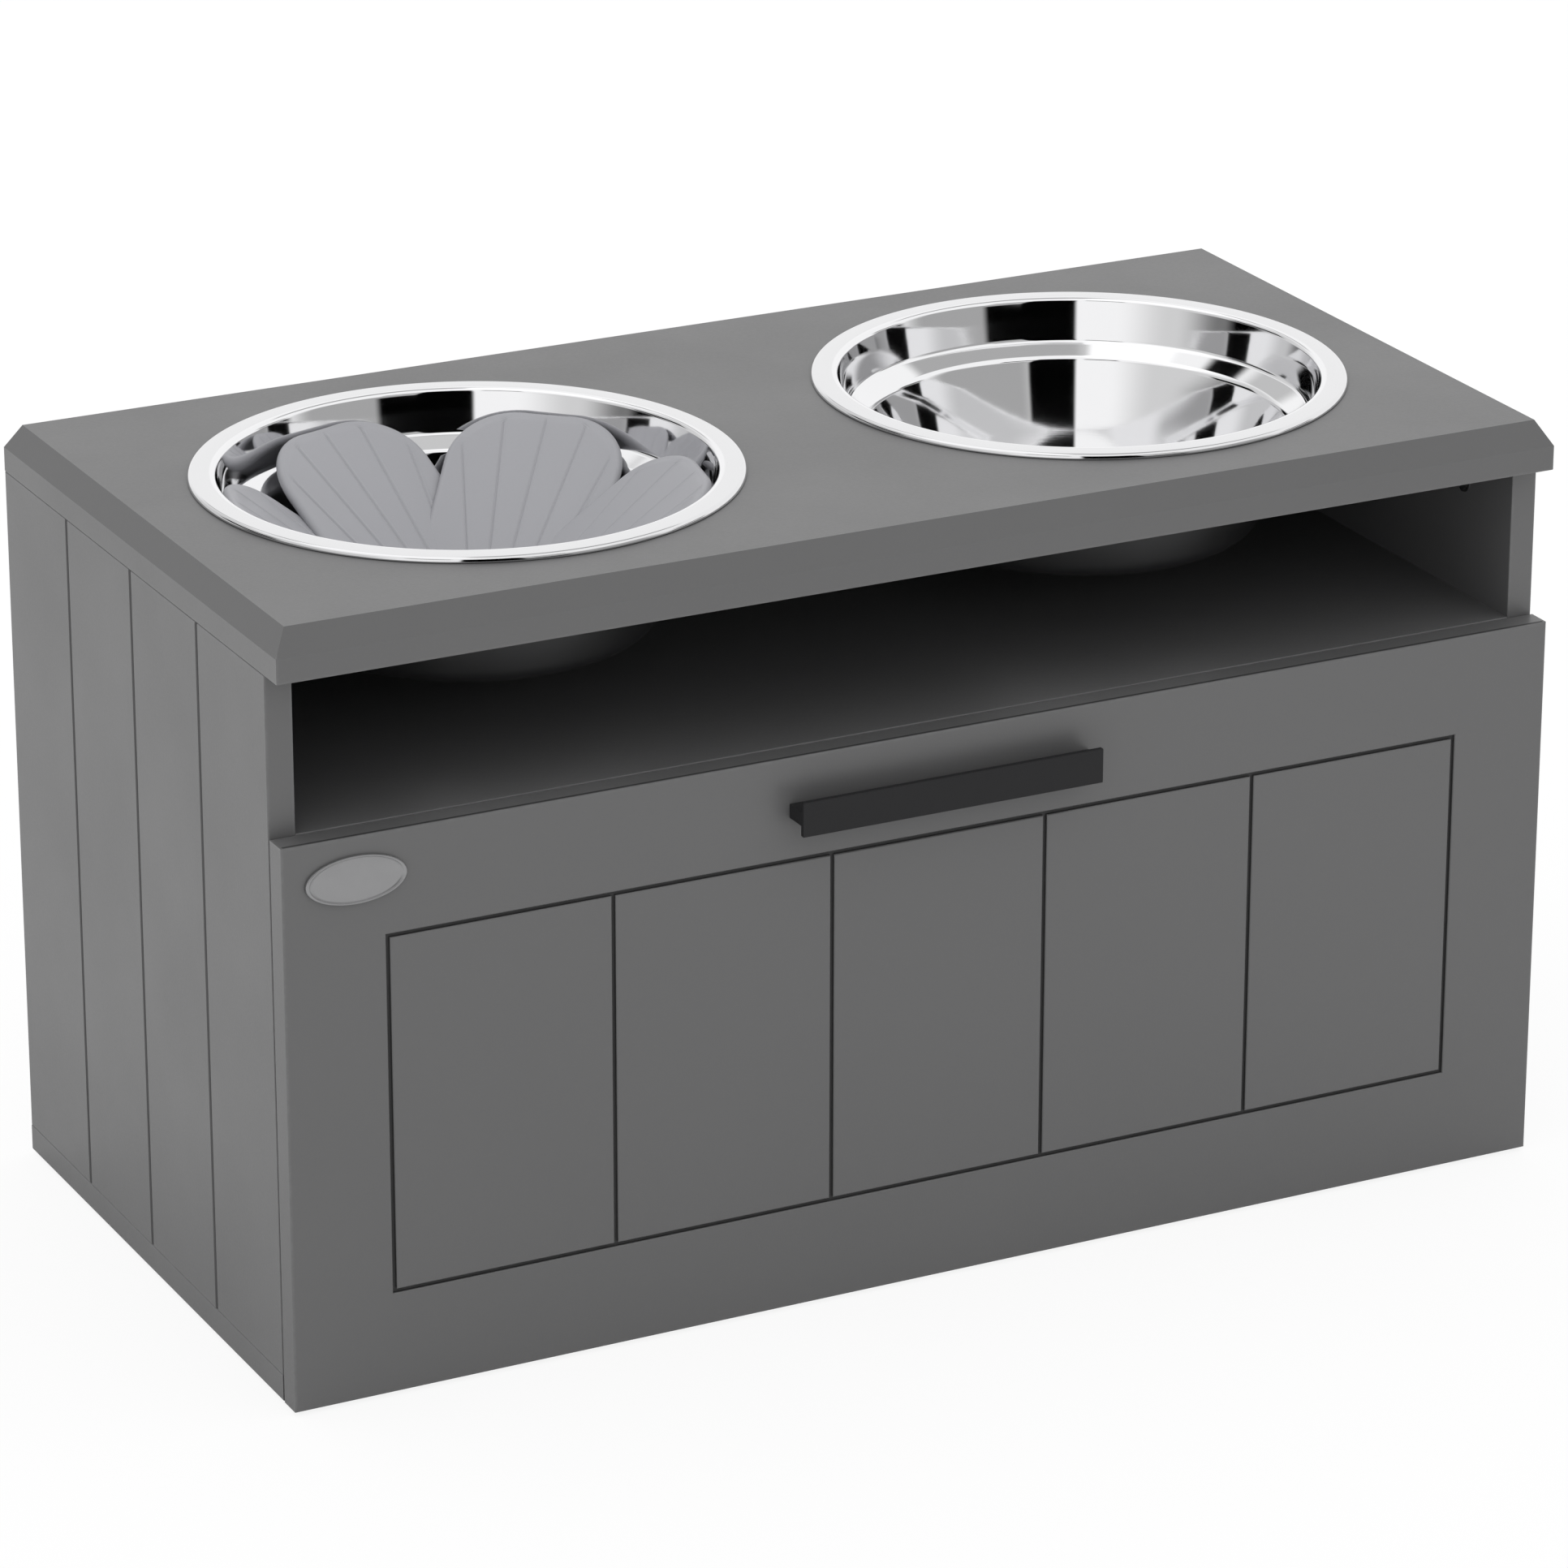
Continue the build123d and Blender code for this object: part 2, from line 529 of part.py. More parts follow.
def build_foot_pads():
    """Round pads under the bottom board, out of sight."""
    pitch_x = (WIDTH - 2 * PAD_INSET) / (PADS_ALONG - 1)
    with BuildPart() as pads:
        with BuildSketch():
            with Locations((0, CASE_MID_Y)):
                with GridLocations(pitch_x, CASE_DEPTH - 2 * PAD_INSET, PADS_ALONG, 2):
                    Circle(PAD_RADIUS)
        extrude(amount=PAD_HEIGHT)
    return pads


save(build_top_board(), "top_board")
for side_name, side_sign in SIDES.items():
    save(build_side_panel(side_sign), f"side_panel_{side_name}")
save(build_bottom_board(), "bottom_board")
save(build_shelf_board(), "shelf_board")
save(build_back_panel(), "back_panel")
save(build_foot_pads(), "foot_pads")

# ---------------------------------------------------------------- cabinet fittings
with BuildPart() as top_cam_bolts:
    add_bolts(TOP_CAMS)
save(top_cam_bolts, "top_cam_bolts")

with BuildPart() as top_cam_nuts:
    add_cams(TOP_CAMS)
save(top_cam_nuts, "top_cam_nuts")

with BuildPart() as top_dowels:
    add_dowels(TOP_DOWELS)
save(top_dowels, "top_dowels")

with BuildPart() as shelf_cam_bolts:
    add_bolts(SHELF_CAMS)
save(shelf_cam_bolts, "shelf_cam_bolts")

with BuildPart() as shelf_cam_nuts:
    add_cams(SHELF_CAMS)
save(shelf_cam_nuts, "shelf_cam_nuts")

with BuildPart() as shelf_dowels:
    add_dowels(SHELF_DOWELS)
save(shelf_dowels, "shelf_dowels")

with BuildPart() as bottom_screws:
    for screw_side in SIDES.values():
        for screw_y in FRAME_SCREW_Y:
            screw_plane = along_z(screw_side * EDGE_X, screw_y, FLOOR_Z)
            add_cylinder(screw_plane, FRAME_SCREW_RADIUS, FRAME_SCREW_LENGTH)
            add_cone(screw_plane)
save(bottom_screws, "bottom_screws")


# ---------------------------------------------------------------- drawer box
def add_routing(mode):
    """Routed frame and plank lines in the drawer front's face."""
    width = WIDTH - 2 * FRAME_MARGIN
    height = DRAWER_FRONT_HEIGHT - 2 * FRAME_MARGIN
    middle_z = FLOOR_Z + DRAWER_FRONT_HEIGHT / 2
    with BuildSketch(along_y(0, FRONT_Y, middle_z, -1)) as lines:
        Rectangle(width + ROUTED_WIDTH, height + ROUTED_WIDTH)
        Rectangle(width - ROUTED_WIDTH, height - ROUTED_WIDTH, mode=Mode.SUBTRACT)
        with GridLocations(width / FRAME_PLANKS, 0, FRAME_PLANKS - 1, 1):
            Rectangle(ROUTED_WIDTH, height)
    extrude(lines.sketch, amount=-ROUTED_DEPTH, mode=mode)


def build_drawer_front():
    """Drawer front with its routed planks, handle holes, panel groove and joint holes."""
    with BuildPart() as front:
        add_block((-WIDTH / 2, WIDTH / 2), (FRONT_Y, DRAWER_REAR_OF_FRONT), (FLOOR_Z, SHELF_TOP_Z))
        face = front.faces().sort_by(Axis.Y)[0]
        fillet(face.edges(), EDGE_ROUND)
        rear = front.faces().sort_by(Axis.Y)[-1]
        fillet(rear.edges(), SEAM_ROUND)
        add_routing(Mode.SUBTRACT)
        routed = front.edges().filter_by_position(Axis.Y, FRONT_Y, FRONT_Y)
        limit_x = WIDTH / 2 - FRAME_MARGIN / 2
        routed = routed.filter_by_position(Axis.X, -limit_x, limit_x)
        limit_z = FLOOR_Z + FRAME_MARGIN / 2
        routed = routed.filter_by_position(Axis.Z, limit_z, SHELF_TOP_Z - FRAME_MARGIN / 2)
        chamfer(routed, ROUTED_EASE)
        reach = BOX_INNER_X + GROOVE_DEPTH
        add_block((-reach, reach), (DRAWER_REAR_OF_FRONT - GROOVE_DEPTH, DRAWER_REAR_OF_FRONT),
                  drawer_groove_z(), Mode.SUBTRACT)
        for x in handle_screw_x():
            add_cylinder(along_y(x, FRONT_Y, HANDLE_Z), HANDLE_SCREW_RADIUS + BOLT_HOLE, BOARD, Mode.SUBTRACT)
        cut_bolt_holes(DRAWER_CAMS)
        cut_dowel_faces(DRAWER_DOWELS)
    return front


def drawer_groove_z():
    """Range in Z of the grooves that hold the drawer's bottom."""
    return (DRAWER_BOTTOM_Z - PANEL_FIT, DRAWER_BOTTOM_Z + PANEL + PANEL_FIT)


def handle_screw_x():
    """Where the handle's screws go."""
    return (-HANDLE_SCREW_PITCH / 2, HANDLE_SCREW_PITCH / 2)


def build_drawer_side(side):
    """Drawer side, grooved inside and drilled for its fittings."""
    with BuildPart() as board:
        add_block(span(side, BOX_INNER_X, BOX_X), (DRAWER_REAR_OF_FRONT, BOX_BACK_Y), (BOX_Z, BOX_TOP_Z))
        upper = board.edges().filter_by(Axis.Y).filter_by_position(Axis.Z, BOX_TOP_Z, BOX_TOP_Z)
        fillet(upper, EDGE_ROUND)
        add_block(span(side, BOX_INNER_X, BOX_INNER_X + GROOVE_DEPTH),
                  (DRAWER_REAR_OF_FRONT, BOX_BACK_INNER_Y + GROOVE_DEPTH), drawer_groove_z(), Mode.SUBTRACT)
        cut_cam_seats(on_side(DRAWER_CAMS, side))
        cut_dowel_edges(on_side(DRAWER_DOWELS, side))
        for z in BACK_SCREW_Z:
            outside = along_x(side * BOX_X, BOX_BACK_Y - BOARD / 2, z, -side)
            add_cylinder(outside, FRAME_SCREW_RADIUS, BOARD, Mode.SUBTRACT)
            add_cone(outside, Mode.SUBTRACT)
        for y in RUNNER_SCREW_Y:
            add_cylinder(along_z(side * BOX_EDGE_X, y, BOX_Z), SCREW_RADIUS, RUNNER_SCREW_LENGTH,
                         Mode.SUBTRACT)
    return board


def build_drawer_back():
    """Drawer back between the drawer sides."""
    with BuildPart() as board:
        add_block((-BOX_INNER_X, BOX_INNER_X), (BOX_BACK_INNER_Y, BOX_BACK_Y), (BOX_Z, BOX_TOP_Z))
        upper = board.edges().filter_by(Axis.X).filter_by_position(Axis.Z, BOX_TOP_Z, BOX_TOP_Z)
        fillet(upper, EDGE_ROUND)
        add_block((-BOX_INNER_X, BOX_INNER_X), (BOX_BACK_INNER_Y, BOX_BACK_INNER_Y + GROOVE_DEPTH),
                  drawer_groove_z(), Mode.SUBTRACT)
        for side in SIDES.values():
            for z in BACK_SCREW_Z:
                end = along_x(side * BOX_INNER_X, BOX_BACK_Y - BOARD / 2, z, -side)
                add_cylinder(end, FRAME_SCREW_RADIUS, BACK_SCREW_LENGTH - BOARD, Mode.SUBTRACT)
    return board


def build_drawer_bottom():
    """Thin drawer bottom, held in the grooves all round."""
    play = 2 * PANEL_FIT
    reach = BOX_INNER_X + GROOVE_DEPTH - play
    with BuildPart() as panel:
        add_block((-reach, reach),
                  (DRAWER_REAR_OF_FRONT - GROOVE_DEPTH + play, BOX_BACK_INNER_Y + GROOVE_DEPTH - play),
                  (DRAWER_BOTTOM_Z - PANEL_FIT, DRAWER_BOTTOM_Z - PANEL_FIT + PANEL))
    return panel


def build_handle_bar():
    """T-section bar: a flat plate in front and one web to the drawer front."""
    with BuildPart() as bar:
        with BuildSketch(along_x(-HANDLE_WIDTH / 2, FRONT_Y, HANDLE_Z)):
            with Locations(((HANDLE_PLATE - HANDLE_REACH) / 2, 0)):
                Rectangle(HANDLE_REACH - HANDLE_PLATE, HANDLE_WEB)
            with Locations((HANDLE_PLATE / 2 - HANDLE_REACH, 0)):
                Rectangle(HANDLE_PLATE, HANDLE_PLATE_HEIGHT)
        extrude(amount=HANDLE_WIDTH)
        plate = bar.faces().sort_by(Axis.Y)[0]
        chamfer(plate.edges(), HANDLE_EDGE)
        for x in handle_screw_x():
            add_cylinder(along_y(x, FRONT_Y, HANDLE_Z, -1), HANDLE_SCREW_RADIUS, HANDLE_SCREW_BITE,
                         Mode.SUBTRACT)
    return bar


def build_handle_screws():
    """Machine screws through the drawer front, heads inside the drawer."""
    with BuildPart() as screws:
        for x in handle_screw_x():
            seat = along_y(x, DRAWER_REAR_OF_FRONT, HANDLE_Z, -1)
            add_cylinder(seat, HANDLE_SCREW_RADIUS, BOARD + HANDLE_SCREW_BITE)
            add_cylinder(seat, HANDLE_SCREW_HEAD_RADIUS, -HANDLE_SCREW_HEAD)
    return screws


def build_badge_plate():
    """Small bare oval plate with a raised rim."""
    badge_x = -WIDTH / 2 + BADGE_FROM_SIDE
    badge_z = SHELF_TOP_Z - BADGE_DROP
    with BuildPart() as badge:
        with BuildSketch(along_y(badge_x, FRONT_Y, badge_z, -1)):
            Ellipse(BADGE_WIDTH / 2, BADGE_HEIGHT / 2)
        extrude(amount=BADGE_THICKNESS)
        with BuildSketch(along_y(badge_x, FRONT_Y - BADGE_THICKNESS, badge_z, -1)):
            Ellipse(BADGE_WIDTH / 2 - BADGE_RIM, BADGE_HEIGHT / 2 - BADGE_RIM)
        extrude(amount=-BADGE_RECESS, mode=Mode.SUBTRACT)
    return badge


save(build_drawer_front(), "drawer_front")
for side_name, side_sign in SIDES.items():
    save(build_drawer_side(side_sign), f"drawer_side_{side_name}")
save(build_drawer_back(), "drawer_back")
save(build_drawer_bottom(), "drawer_bottom")
save(build_handle_bar(), "handle_bar")
save(build_handle_screws(), "handle_screws")
save(build_badge_plate(), "badge_plate")

with BuildPart() as drawer_cam_bolts:
    add_bolts(DRAWER_CAMS)
save(drawer_cam_bolts, "drawer_cam_bolts")

with BuildPart() as drawer_cam_nuts:
    add_cams(DRAWER_CAMS)
save(drawer_cam_nuts, "drawer_cam_nuts")

with BuildPart() as drawer_dowels:
    add_dowels(DRAWER_DOWELS)
save(drawer_dowels, "drawer_dowels")

with BuildPart() as drawer_back_screws:
    for screw_side in SIDES.values():
        for screw_z in BACK_SCREW_Z:
            screw_plane = along_x(screw_side * BOX_X, BOX_BACK_Y - BOARD / 2, screw_z, -screw_side)
            add_cylinder(screw_plane, FRAME_SCREW_RADIUS, BACK_SCREW_LENGTH)
            add_cone(screw_plane)
save(drawer_back_screws, "drawer_back_screws")


# ---------------------------------------------------------------- slides
def build_cabinet_rail(side):
    """Channel on the side panel, with an open front end for its roller and a stop dimple."""
    web_x = span(side, INNER_X - RAIL_SHEET, INNER_X)
    flange_x = span(side, CHANNEL_X, INNER_X)
    flange_y = (FRONT_ROLLER_Y + FRONT_ROLLER + RUNNER_CLEAR, RAIL_BACK_Y)
    upper_z = CHANNEL_FLOOR_Z + CHANNEL_HEIGHT
    stop_drop = REAR_ROLLER - STOP_HEIGHT
    stop_half = (REAR_ROLLER ** 2 - stop_drop ** 2) ** 0.5
    stop_y = REAR_ROLLER_Y - DRAWER_TRAVEL - stop_half - STOP_GAP
    stop_mid = (CHANNEL_X + INNER_X - RAIL_SHEET) / 2
    with BuildPart() as rail:
        add_block(web_x, (RAIL_FRONT_Y, RAIL_BACK_Y), (CHANNEL_Z, upper_z + RAIL_SHEET))
        add_block(flange_x, flange_y, (CHANNEL_Z, CHANNEL_FLOOR_Z))
        add_block(flange_x, flange_y, (upper_z, upper_z + RAIL_SHEET))
        add_block(span(side, stop_mid - STOP_WIDTH / 2, stop_mid + STOP_WIDTH / 2),
                  (stop_y - STOP_LENGTH, stop_y), (CHANNEL_FLOOR_Z, CHANNEL_FLOOR_Z + STOP_HEIGHT))
        add_cylinder(along_x(side * INNER_X, FRONT_ROLLER_Y, FRONT_ROLLER_Z, -side), PIN_RADIUS, RAIL_SHEET,
                     Mode.SUBTRACT)
        for y in RAIL_SCREW_Y:
            add_cylinder(along_x(side * INNER_X, y, RAIL_SCREW_Z, -side), SCREW_RADIUS, RAIL_SHEET,
                         Mode.SUBTRACT)
    return rail


def build_drawer_rail(side):
    """Rail under the drawer side: a foot, a web and the flange that runs on the front roller."""
    web_x = span(side, BOX_X, BOX_X + RAIL_SHEET)
    foot_z = (BOX_Z - RAIL_SHEET, BOX_Z)
    ends = (DRAWER_REAR_OF_FRONT, RUNNER_BACK_Y)
    runner_y = (DRAWER_REAR_OF_FRONT, REAR_ROLLER_Y - REAR_ROLLER - RUNNER_CLEAR)
    with BuildPart() as rail:
        add_block(web_x, ends, (BOX_Z - RAIL_SHEET, RUNNER_Z + RAIL_SHEET))
        add_block(span(side, BOX_INNER_X + RAIL_SHEET, BOX_X + RAIL_SHEET), ends, foot_z)
        add_block(span(side, BOX_X, BOX_X + RAIL_SHEET + RUNNER_REACH), runner_y,
                  (RUNNER_Z, RUNNER_Z + RAIL_SHEET))
        add_cylinder(along_x(side * BOX_X, REAR_ROLLER_Y, REAR_ROLLER_Z, side), PIN_RADIUS, RAIL_SHEET,
                     Mode.SUBTRACT)
        for y in RUNNER_SCREW_Y:
            add_cylinder(along_z(side * BOX_EDGE_X, y, BOX_Z), SCREW_RADIUS, -RAIL_SHEET, Mode.SUBTRACT)
    return rail


def front_roller_x(side):
    """Inner face of a front roller, next to its pin's head."""
    return side * (CHANNEL_X + PIN_HEAD + PIN_FIT)


def rear_roller_x(side):
    """Inner face of a rear roller, next to the drawer rail."""
    return side * (BOX_X + RAIL_SHEET + CHANNEL_CLEARANCE)


def build_roller(x, y, z, side, radius):
    """Nylon roller, dished on both faces, bored for its pin."""
    with BuildPart() as roller:
        add_cylinder(along_x(x, y, z, side), radius, ROLLER_WIDTH)
        for face_x, way in ((x, side), (x + side * ROLLER_WIDTH, -side)):
            with BuildSketch(along_x(face_x, y, z, way)):
                Circle(radius - ROLLER_RIM)
                Circle(ROLLER_HUB, mode=Mode.SUBTRACT)
            extrude(amount=ROLLER_DISH, mode=Mode.SUBTRACT)
        add_cylinder(along_x(x, y, z, side), PIN_RADIUS + PIN_FIT, ROLLER_WIDTH, Mode.SUBTRACT)
    return roller


def build_front_pins():
    """Riveted pins of the front rollers, held in the cabinet rails."""
    with BuildPart() as pins:
        for side in SIDES.values():
            head_x = front_roller_x(side) - side * PIN_FIT
            add_cylinder(along_x(head_x, FRONT_ROLLER_Y, FRONT_ROLLER_Z, side), PIN_RADIUS,
                         abs(side * INNER_X - head_x))
            add_cylinder(along_x(head_x, FRONT_ROLLER_Y, FRONT_ROLLER_Z, -side), PIN_HEAD_RADIUS, PIN_HEAD)
    return pins


def build_rear_pins():
    """Riveted pins of the rear rollers, held in the drawer rails."""
    with BuildPart() as pins:
        for side in SIDES.values():
            head_x = rear_roller_x(side) + side * (ROLLER_WIDTH + PIN_FIT)
            add_cylinder(along_x(side * BOX_X, REAR_ROLLER_Y, REAR_ROLLER_Z, side), PIN_RADIUS,
                         abs(head_x - side * BOX_X))
            add_cylinder(along_x(head_x, REAR_ROLLER_Y, REAR_ROLLER_Z, side), PIN_HEAD_RADIUS, PIN_HEAD)
    return pins


for side_name, side_sign in SIDES.items():
    save(build_cabinet_rail(side_sign), f"cabinet_rail_{side_name}")
    save(build_drawer_rail(side_sign), f"drawer_rail_{side_name}")
    front_x = front_roller_x(side_sign)
    front_roller = build_roller(front_x, FRONT_ROLLER_Y, FRONT_ROLLER_Z, side_sign, FRONT_ROLLER)
    save(front_roller, f"front_roller_{side_name}")
    rear_x = rear_roller_x(side_sign)
    rear_roller = build_roller(rear_x, REAR_ROLLER_Y, REAR_ROLLER_Z, side_sign, REAR_ROLLER)
    save(rear_roller, f"rear_roller_{side_name}")
save(build_front_pins(), "front_roller_pins")
save(build_rear_pins(), "rear_roller_pins")

with BuildPart() as cabinet_rail_screws:
    for screw_side in SIDES.values():
        for screw_y in RAIL_SCREW_Y:
            web_face = screw_side * (INNER_X - RAIL_SHEET)
            add_cylinder(along_x(web_face, screw_y, RAIL_SCREW_Z, screw_side), SCREW_RADIUS,
                         RAIL_SCREW_LENGTH + RAIL_SHEET)
            add_cylinder(along_x(web_face, screw_y, RAIL_SCREW_Z, -screw_side), SCREW_HEAD_RADIUS, SCREW_HEAD)
save(cabinet_rail_screws, "cabinet_rail_screws")

with BuildPart() as drawer_rail_screws:
    for screw_side in SIDES.values():
        for screw_y in RUNNER_SCREW_Y:
            under_foot = BOX_Z - RAIL_SHEET
            add_cylinder(along_z(screw_side * BOX_EDGE_X, screw_y, under_foot), SCREW_RADIUS,
                         RUNNER_SCREW_LENGTH + RAIL_SHEET)
            add_cylinder(along_z(screw_side * BOX_EDGE_X, screw_y, under_foot), SCREW_HEAD_RADIUS,
                         -SCREW_HEAD)
save(drawer_rail_screws, "drawer_rail_screws")


# ---------------------------------------------------------------- bowls
def build_bowl(side):
    """Stamped bowl: flat floor, leaning wall, ledge, upright neck and a rim turned down on the board."""
    rim_under = BOWL_RIM_HEIGHT - BOWL_SHEET
    rim_inner = BOWL_RIM - BOWL_SHEET
    section = Plane(origin=(side * BOWL_SPACING / 2, MID_Y, TOP_Z), x_dir=(1, 0, 0), z_dir=(0, -1, 0))
    with BuildPart() as bowl:
        with BuildSketch(section):
            with BuildLine():
                under = FilletPolyline(
                    (0, -BOWL_DEPTH),
                    (BOWL_BASE_RADIUS, -BOWL_DEPTH),
                    (BOWL_LEDGE_INNER, -BOWL_LEDGE_LOW),
                    (BOWL_LEDGE_OUTER, -BOWL_LEDGE_HIGH),
                    (BOWL_NECK, rim_under),
                    (rim_inner, rim_under),
                    (rim_inner, 0),
                    radius=[BOWL_BASE_ROUND, BOWL_LEDGE_ROUND, BOWL_LEDGE_ROUND, BOWL_NECK_ROUND,
                            BOWL_RIM_ROUND],
                )
                offset(under, amount=BOWL_SHEET, side=Side.LEFT)
            make_face()
        revolve(axis=Axis(section.origin, (0, 0, 1)))
    return bowl


for side_name, side_sign in SIDES.items():
    save(build_bowl(side_sign), f"bowl_{side_name}")


# ---------------------------------------------------------------- slow-feeder insert
BOWL_LEFT_AXIS = (-BOWL_SPACING / 2, MID_Y)
INSERT_Z = BOWL_FLOOR_Z + INSERT_LIFT
CUP_Z = BOWL_FLOOR_Z + CUP_GAP
PETAL_FOOT = BOWL_BASE_RADIUS - PETAL_INSET   # from the axis to the middle of a petal's foot
PETAL_WIDTH = 2 * PETAL_FOOT * tan(pi / PETALS) + PETAL_LAP
PETAL_FOOT_Z = INSERT_Z + INSERT_BASE / 2
PETAL_RISE = TOP_Z - PETAL_BELOW - PETAL_FOOT_Z
LEAN_TO_NECK = atan2(BOWL_NECK - PETAL_TIP_GAP - PETAL_FOOT, PETAL_RISE)
LEAN_TO_LEDGE = atan2(BOWL_LEDGE_INNER - PETAL_LEDGE_GAP - PETAL_FOOT, TOP_Z - BOWL_LEDGE_LOW - PETAL_FOOT_Z)
PETAL_LEAN = min(LEAN_TO_NECK, LEAN_TO_LEDGE)   # from upright, outwards
PETAL_LENGTH = PETAL_RISE / cos(PETAL_LEAN)
PETAL_ROUND_FROM = PETAL_LENGTH - PETAL_CORNER
INSERT_BASE_RADIUS = PETAL_FOOT + INSERT_BASE_EDGE


def petal_plane():
    """Plane of a petal's middle: its X runs along the width, its Y up the lean."""
    turn = radians(PETAL_TWIST)
    level, rise = cos(PETAL_LEAN), sin(PETAL_LEAN)
    inward = Vector(-cos(turn) * level, -sin(turn) * level, rise)
    across = Vector(sin(turn), -cos(turn), 0)
    return Plane(origin=(PETAL_FOOT, 0, INSERT_BASE / 2), x_dir=across, z_dir=inward)


def rib_length(angle):
    """How far a rib runs from the ribs' origin before it comes near the petal's outline."""
    reach_x = PETAL_WIDTH / 2 - RIB_MARGIN
    reach_y = PETAL_LENGTH - PETAL_ROUND_FROM - RIB_MARGIN
    centre_y = RIB_ORIGIN + PETAL_ROUND_FROM
    across = sin(radians(angle))
    up = cos(radians(angle))
    square = (across / reach_x) ** 2 + (up / reach_y) ** 2
    linear = -2 * up * centre_y / reach_y ** 2
    constant = (centre_y / reach_y) ** 2 - 1
    root = max(linear ** 2 - 4 * square * constant, 0) ** 0.5
    return (root - linear) / (2 * square)


def build_bent_shell(outward, inward):
    """Tube round the petal's hollow, between two distances from the petal's middle."""
    seat = Plane(origin=(0, -PETAL_LENGTH, PETAL_BEND), x_dir=(1, 0, 0), z_dir=(0, 1, 0))
    with BuildPart() as shell:
        with BuildSketch(seat):
            Circle(PETAL_BEND + outward)
            Circle(PETAL_BEND - inward, mode=Mode.SUBTRACT)
        extrude(amount=3 * PETAL_LENGTH)
    return shell.part


def build_ribs():
    """Ribs that fan out over a petal's hollow face, in the petal's own frame."""
    inner = PETAL_THICKNESS / 2
    with BuildPart() as ribs:
        with BuildSketch():
            for index in range(RIBS):
                angle = (index - (RIBS - 1) / 2) * RIB_SPREAD
                start = RIB_ORIGIN / cos(radians(angle))
                length = rib_length(angle) - start
                with Locations(Location((sin(radians(angle)) * start, 0, 0), (0, 0, -angle))):
                    with Locations((0, length / 2)):
                        Rectangle(RIB_WIDTH, length)
        extrude(amount=PETAL_WIDTH / 4)
        add(build_bent_shell(RIB_HEIGHT - inner, inner + RIB_HEIGHT), mode=Mode.INTERSECT)
    return ribs.part


def build_petal():
    """One leaning petal, hollow across its width, with rounded corners at its tip and fanned ribs."""
    with BuildPart() as petal:
        with BuildSketch(Plane.XY.offset(-PETAL_WIDTH / 4)) as outline:
            with Locations((0, PETAL_LENGTH / 2)):
                Rectangle(PETAL_WIDTH, PETAL_LENGTH)
            fillet(outline.vertices().group_by(Axis.Y)[-1], PETAL_CORNER)
        extrude(amount=PETAL_WIDTH / 2)
        add(build_bent_shell(PETAL_THICKNESS / 2, PETAL_THICKNESS / 2), mode=Mode.INTERSECT)
        foot = petal.edges().filter_by_position(Axis.Y, -0.01, 0.01)
        fillet([edge for edge in rim_edges(petal) if edge not in foot], PETAL_ROUND)
        add(build_ribs())
    return petal.part.moved(petal_plane().location)


def rim_edges(petal):
    """Edges along a petal's two faces, without the short ones across its thickness."""
    return [edge for edge in petal.edges() if edge.length > 2 * PETAL_THICKNESS]


def build_feeder_insert(petal):
    """Petals in a ring on a round base, bored for the suction cup's neck."""
    centre = Plane(origin=(*BOWL_LEFT_AXIS, INSERT_Z))
    with BuildPart(centre) as insert:
        with PolarLocations(0, PETALS, start_angle=PETAL_TURN):
            add(petal)
        with BuildSketch(centre):
            Circle(INSERT_BASE_RADIUS)
        extrude(amount=INSERT_BASE)
        with BuildSketch(centre):
            Circle(BOWL_BASE_RADIUS)
        extrude(amount=-PETAL_WIDTH, mode=Mode.SUBTRACT)
        with BuildSketch(centre):
            Circle(CUP_NECK + CUP_FIT)
        extrude(amount=INSERT_BASE, mode=Mode.SUBTRACT)
    return insert


def build_suction_cup():
    """Soft cup: a thin lip on the bowl's floor, a stem, a neck through the base and a button."""
    section = Plane(origin=(*BOWL_LEFT_AXIS, CUP_Z), x_dir=(1, 0, 0), z_dir=(0, -1, 0))
    shoulder = INSERT_LIFT - CUP_GAP - CUP_FIT
    button = shoulder + INSERT_BASE + 2 * CUP_FIT
    with BuildPart() as cup:
        with BuildSketch(section):
            with BuildLine():
                Polyline(
                    (0, shoulder / 2),
                    (CUP_STEM, shoulder / 2),
                    (CUP_RADIUS - CUP_LIP, 0),
                    (CUP_RADIUS, 0),
                    (CUP_RADIUS, CUP_LIP / 2),
                    (CUP_SHOULDER, shoulder),
                    (CUP_NECK, shoulder),
                    (CUP_NECK, button),
                    (CUP_STEM, button),
                    (CUP_STEM, button + CUP_BUTTON),
                    (0, button + CUP_BUTTON),
                    close=True,
                )
            make_face()
        revolve(axis=Axis(section.origin, (0, 0, 1)))
    return cup


save(build_feeder_insert(build_petal()), "feeder_insert")
save(build_suction_cup(), "suction_cup")
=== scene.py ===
"""Looks of the elevated feeder for a dog: paint, steel bowls, slow-feeder petals, fittings and studio.

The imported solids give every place. Boards, panels, rails, dowels, cam bolts and the suction cup
keep their solids and get finishes; bowls, petals, handle, badge, rollers, screws, cam nuts, pins
and pads get finer meshes in the same places.
Lengths are in metres, +X to the right, +Y to the back, +Z up.
"""
import json
import logging
from dataclasses import dataclass
from enum import Enum
from math import atan2, cos, degrees, hypot, pi, radians, sin, tan
from typing import Iterable, Optional, Sequence

import bmesh
import bpy
from mathutils import Matrix, Quaternion, Vector

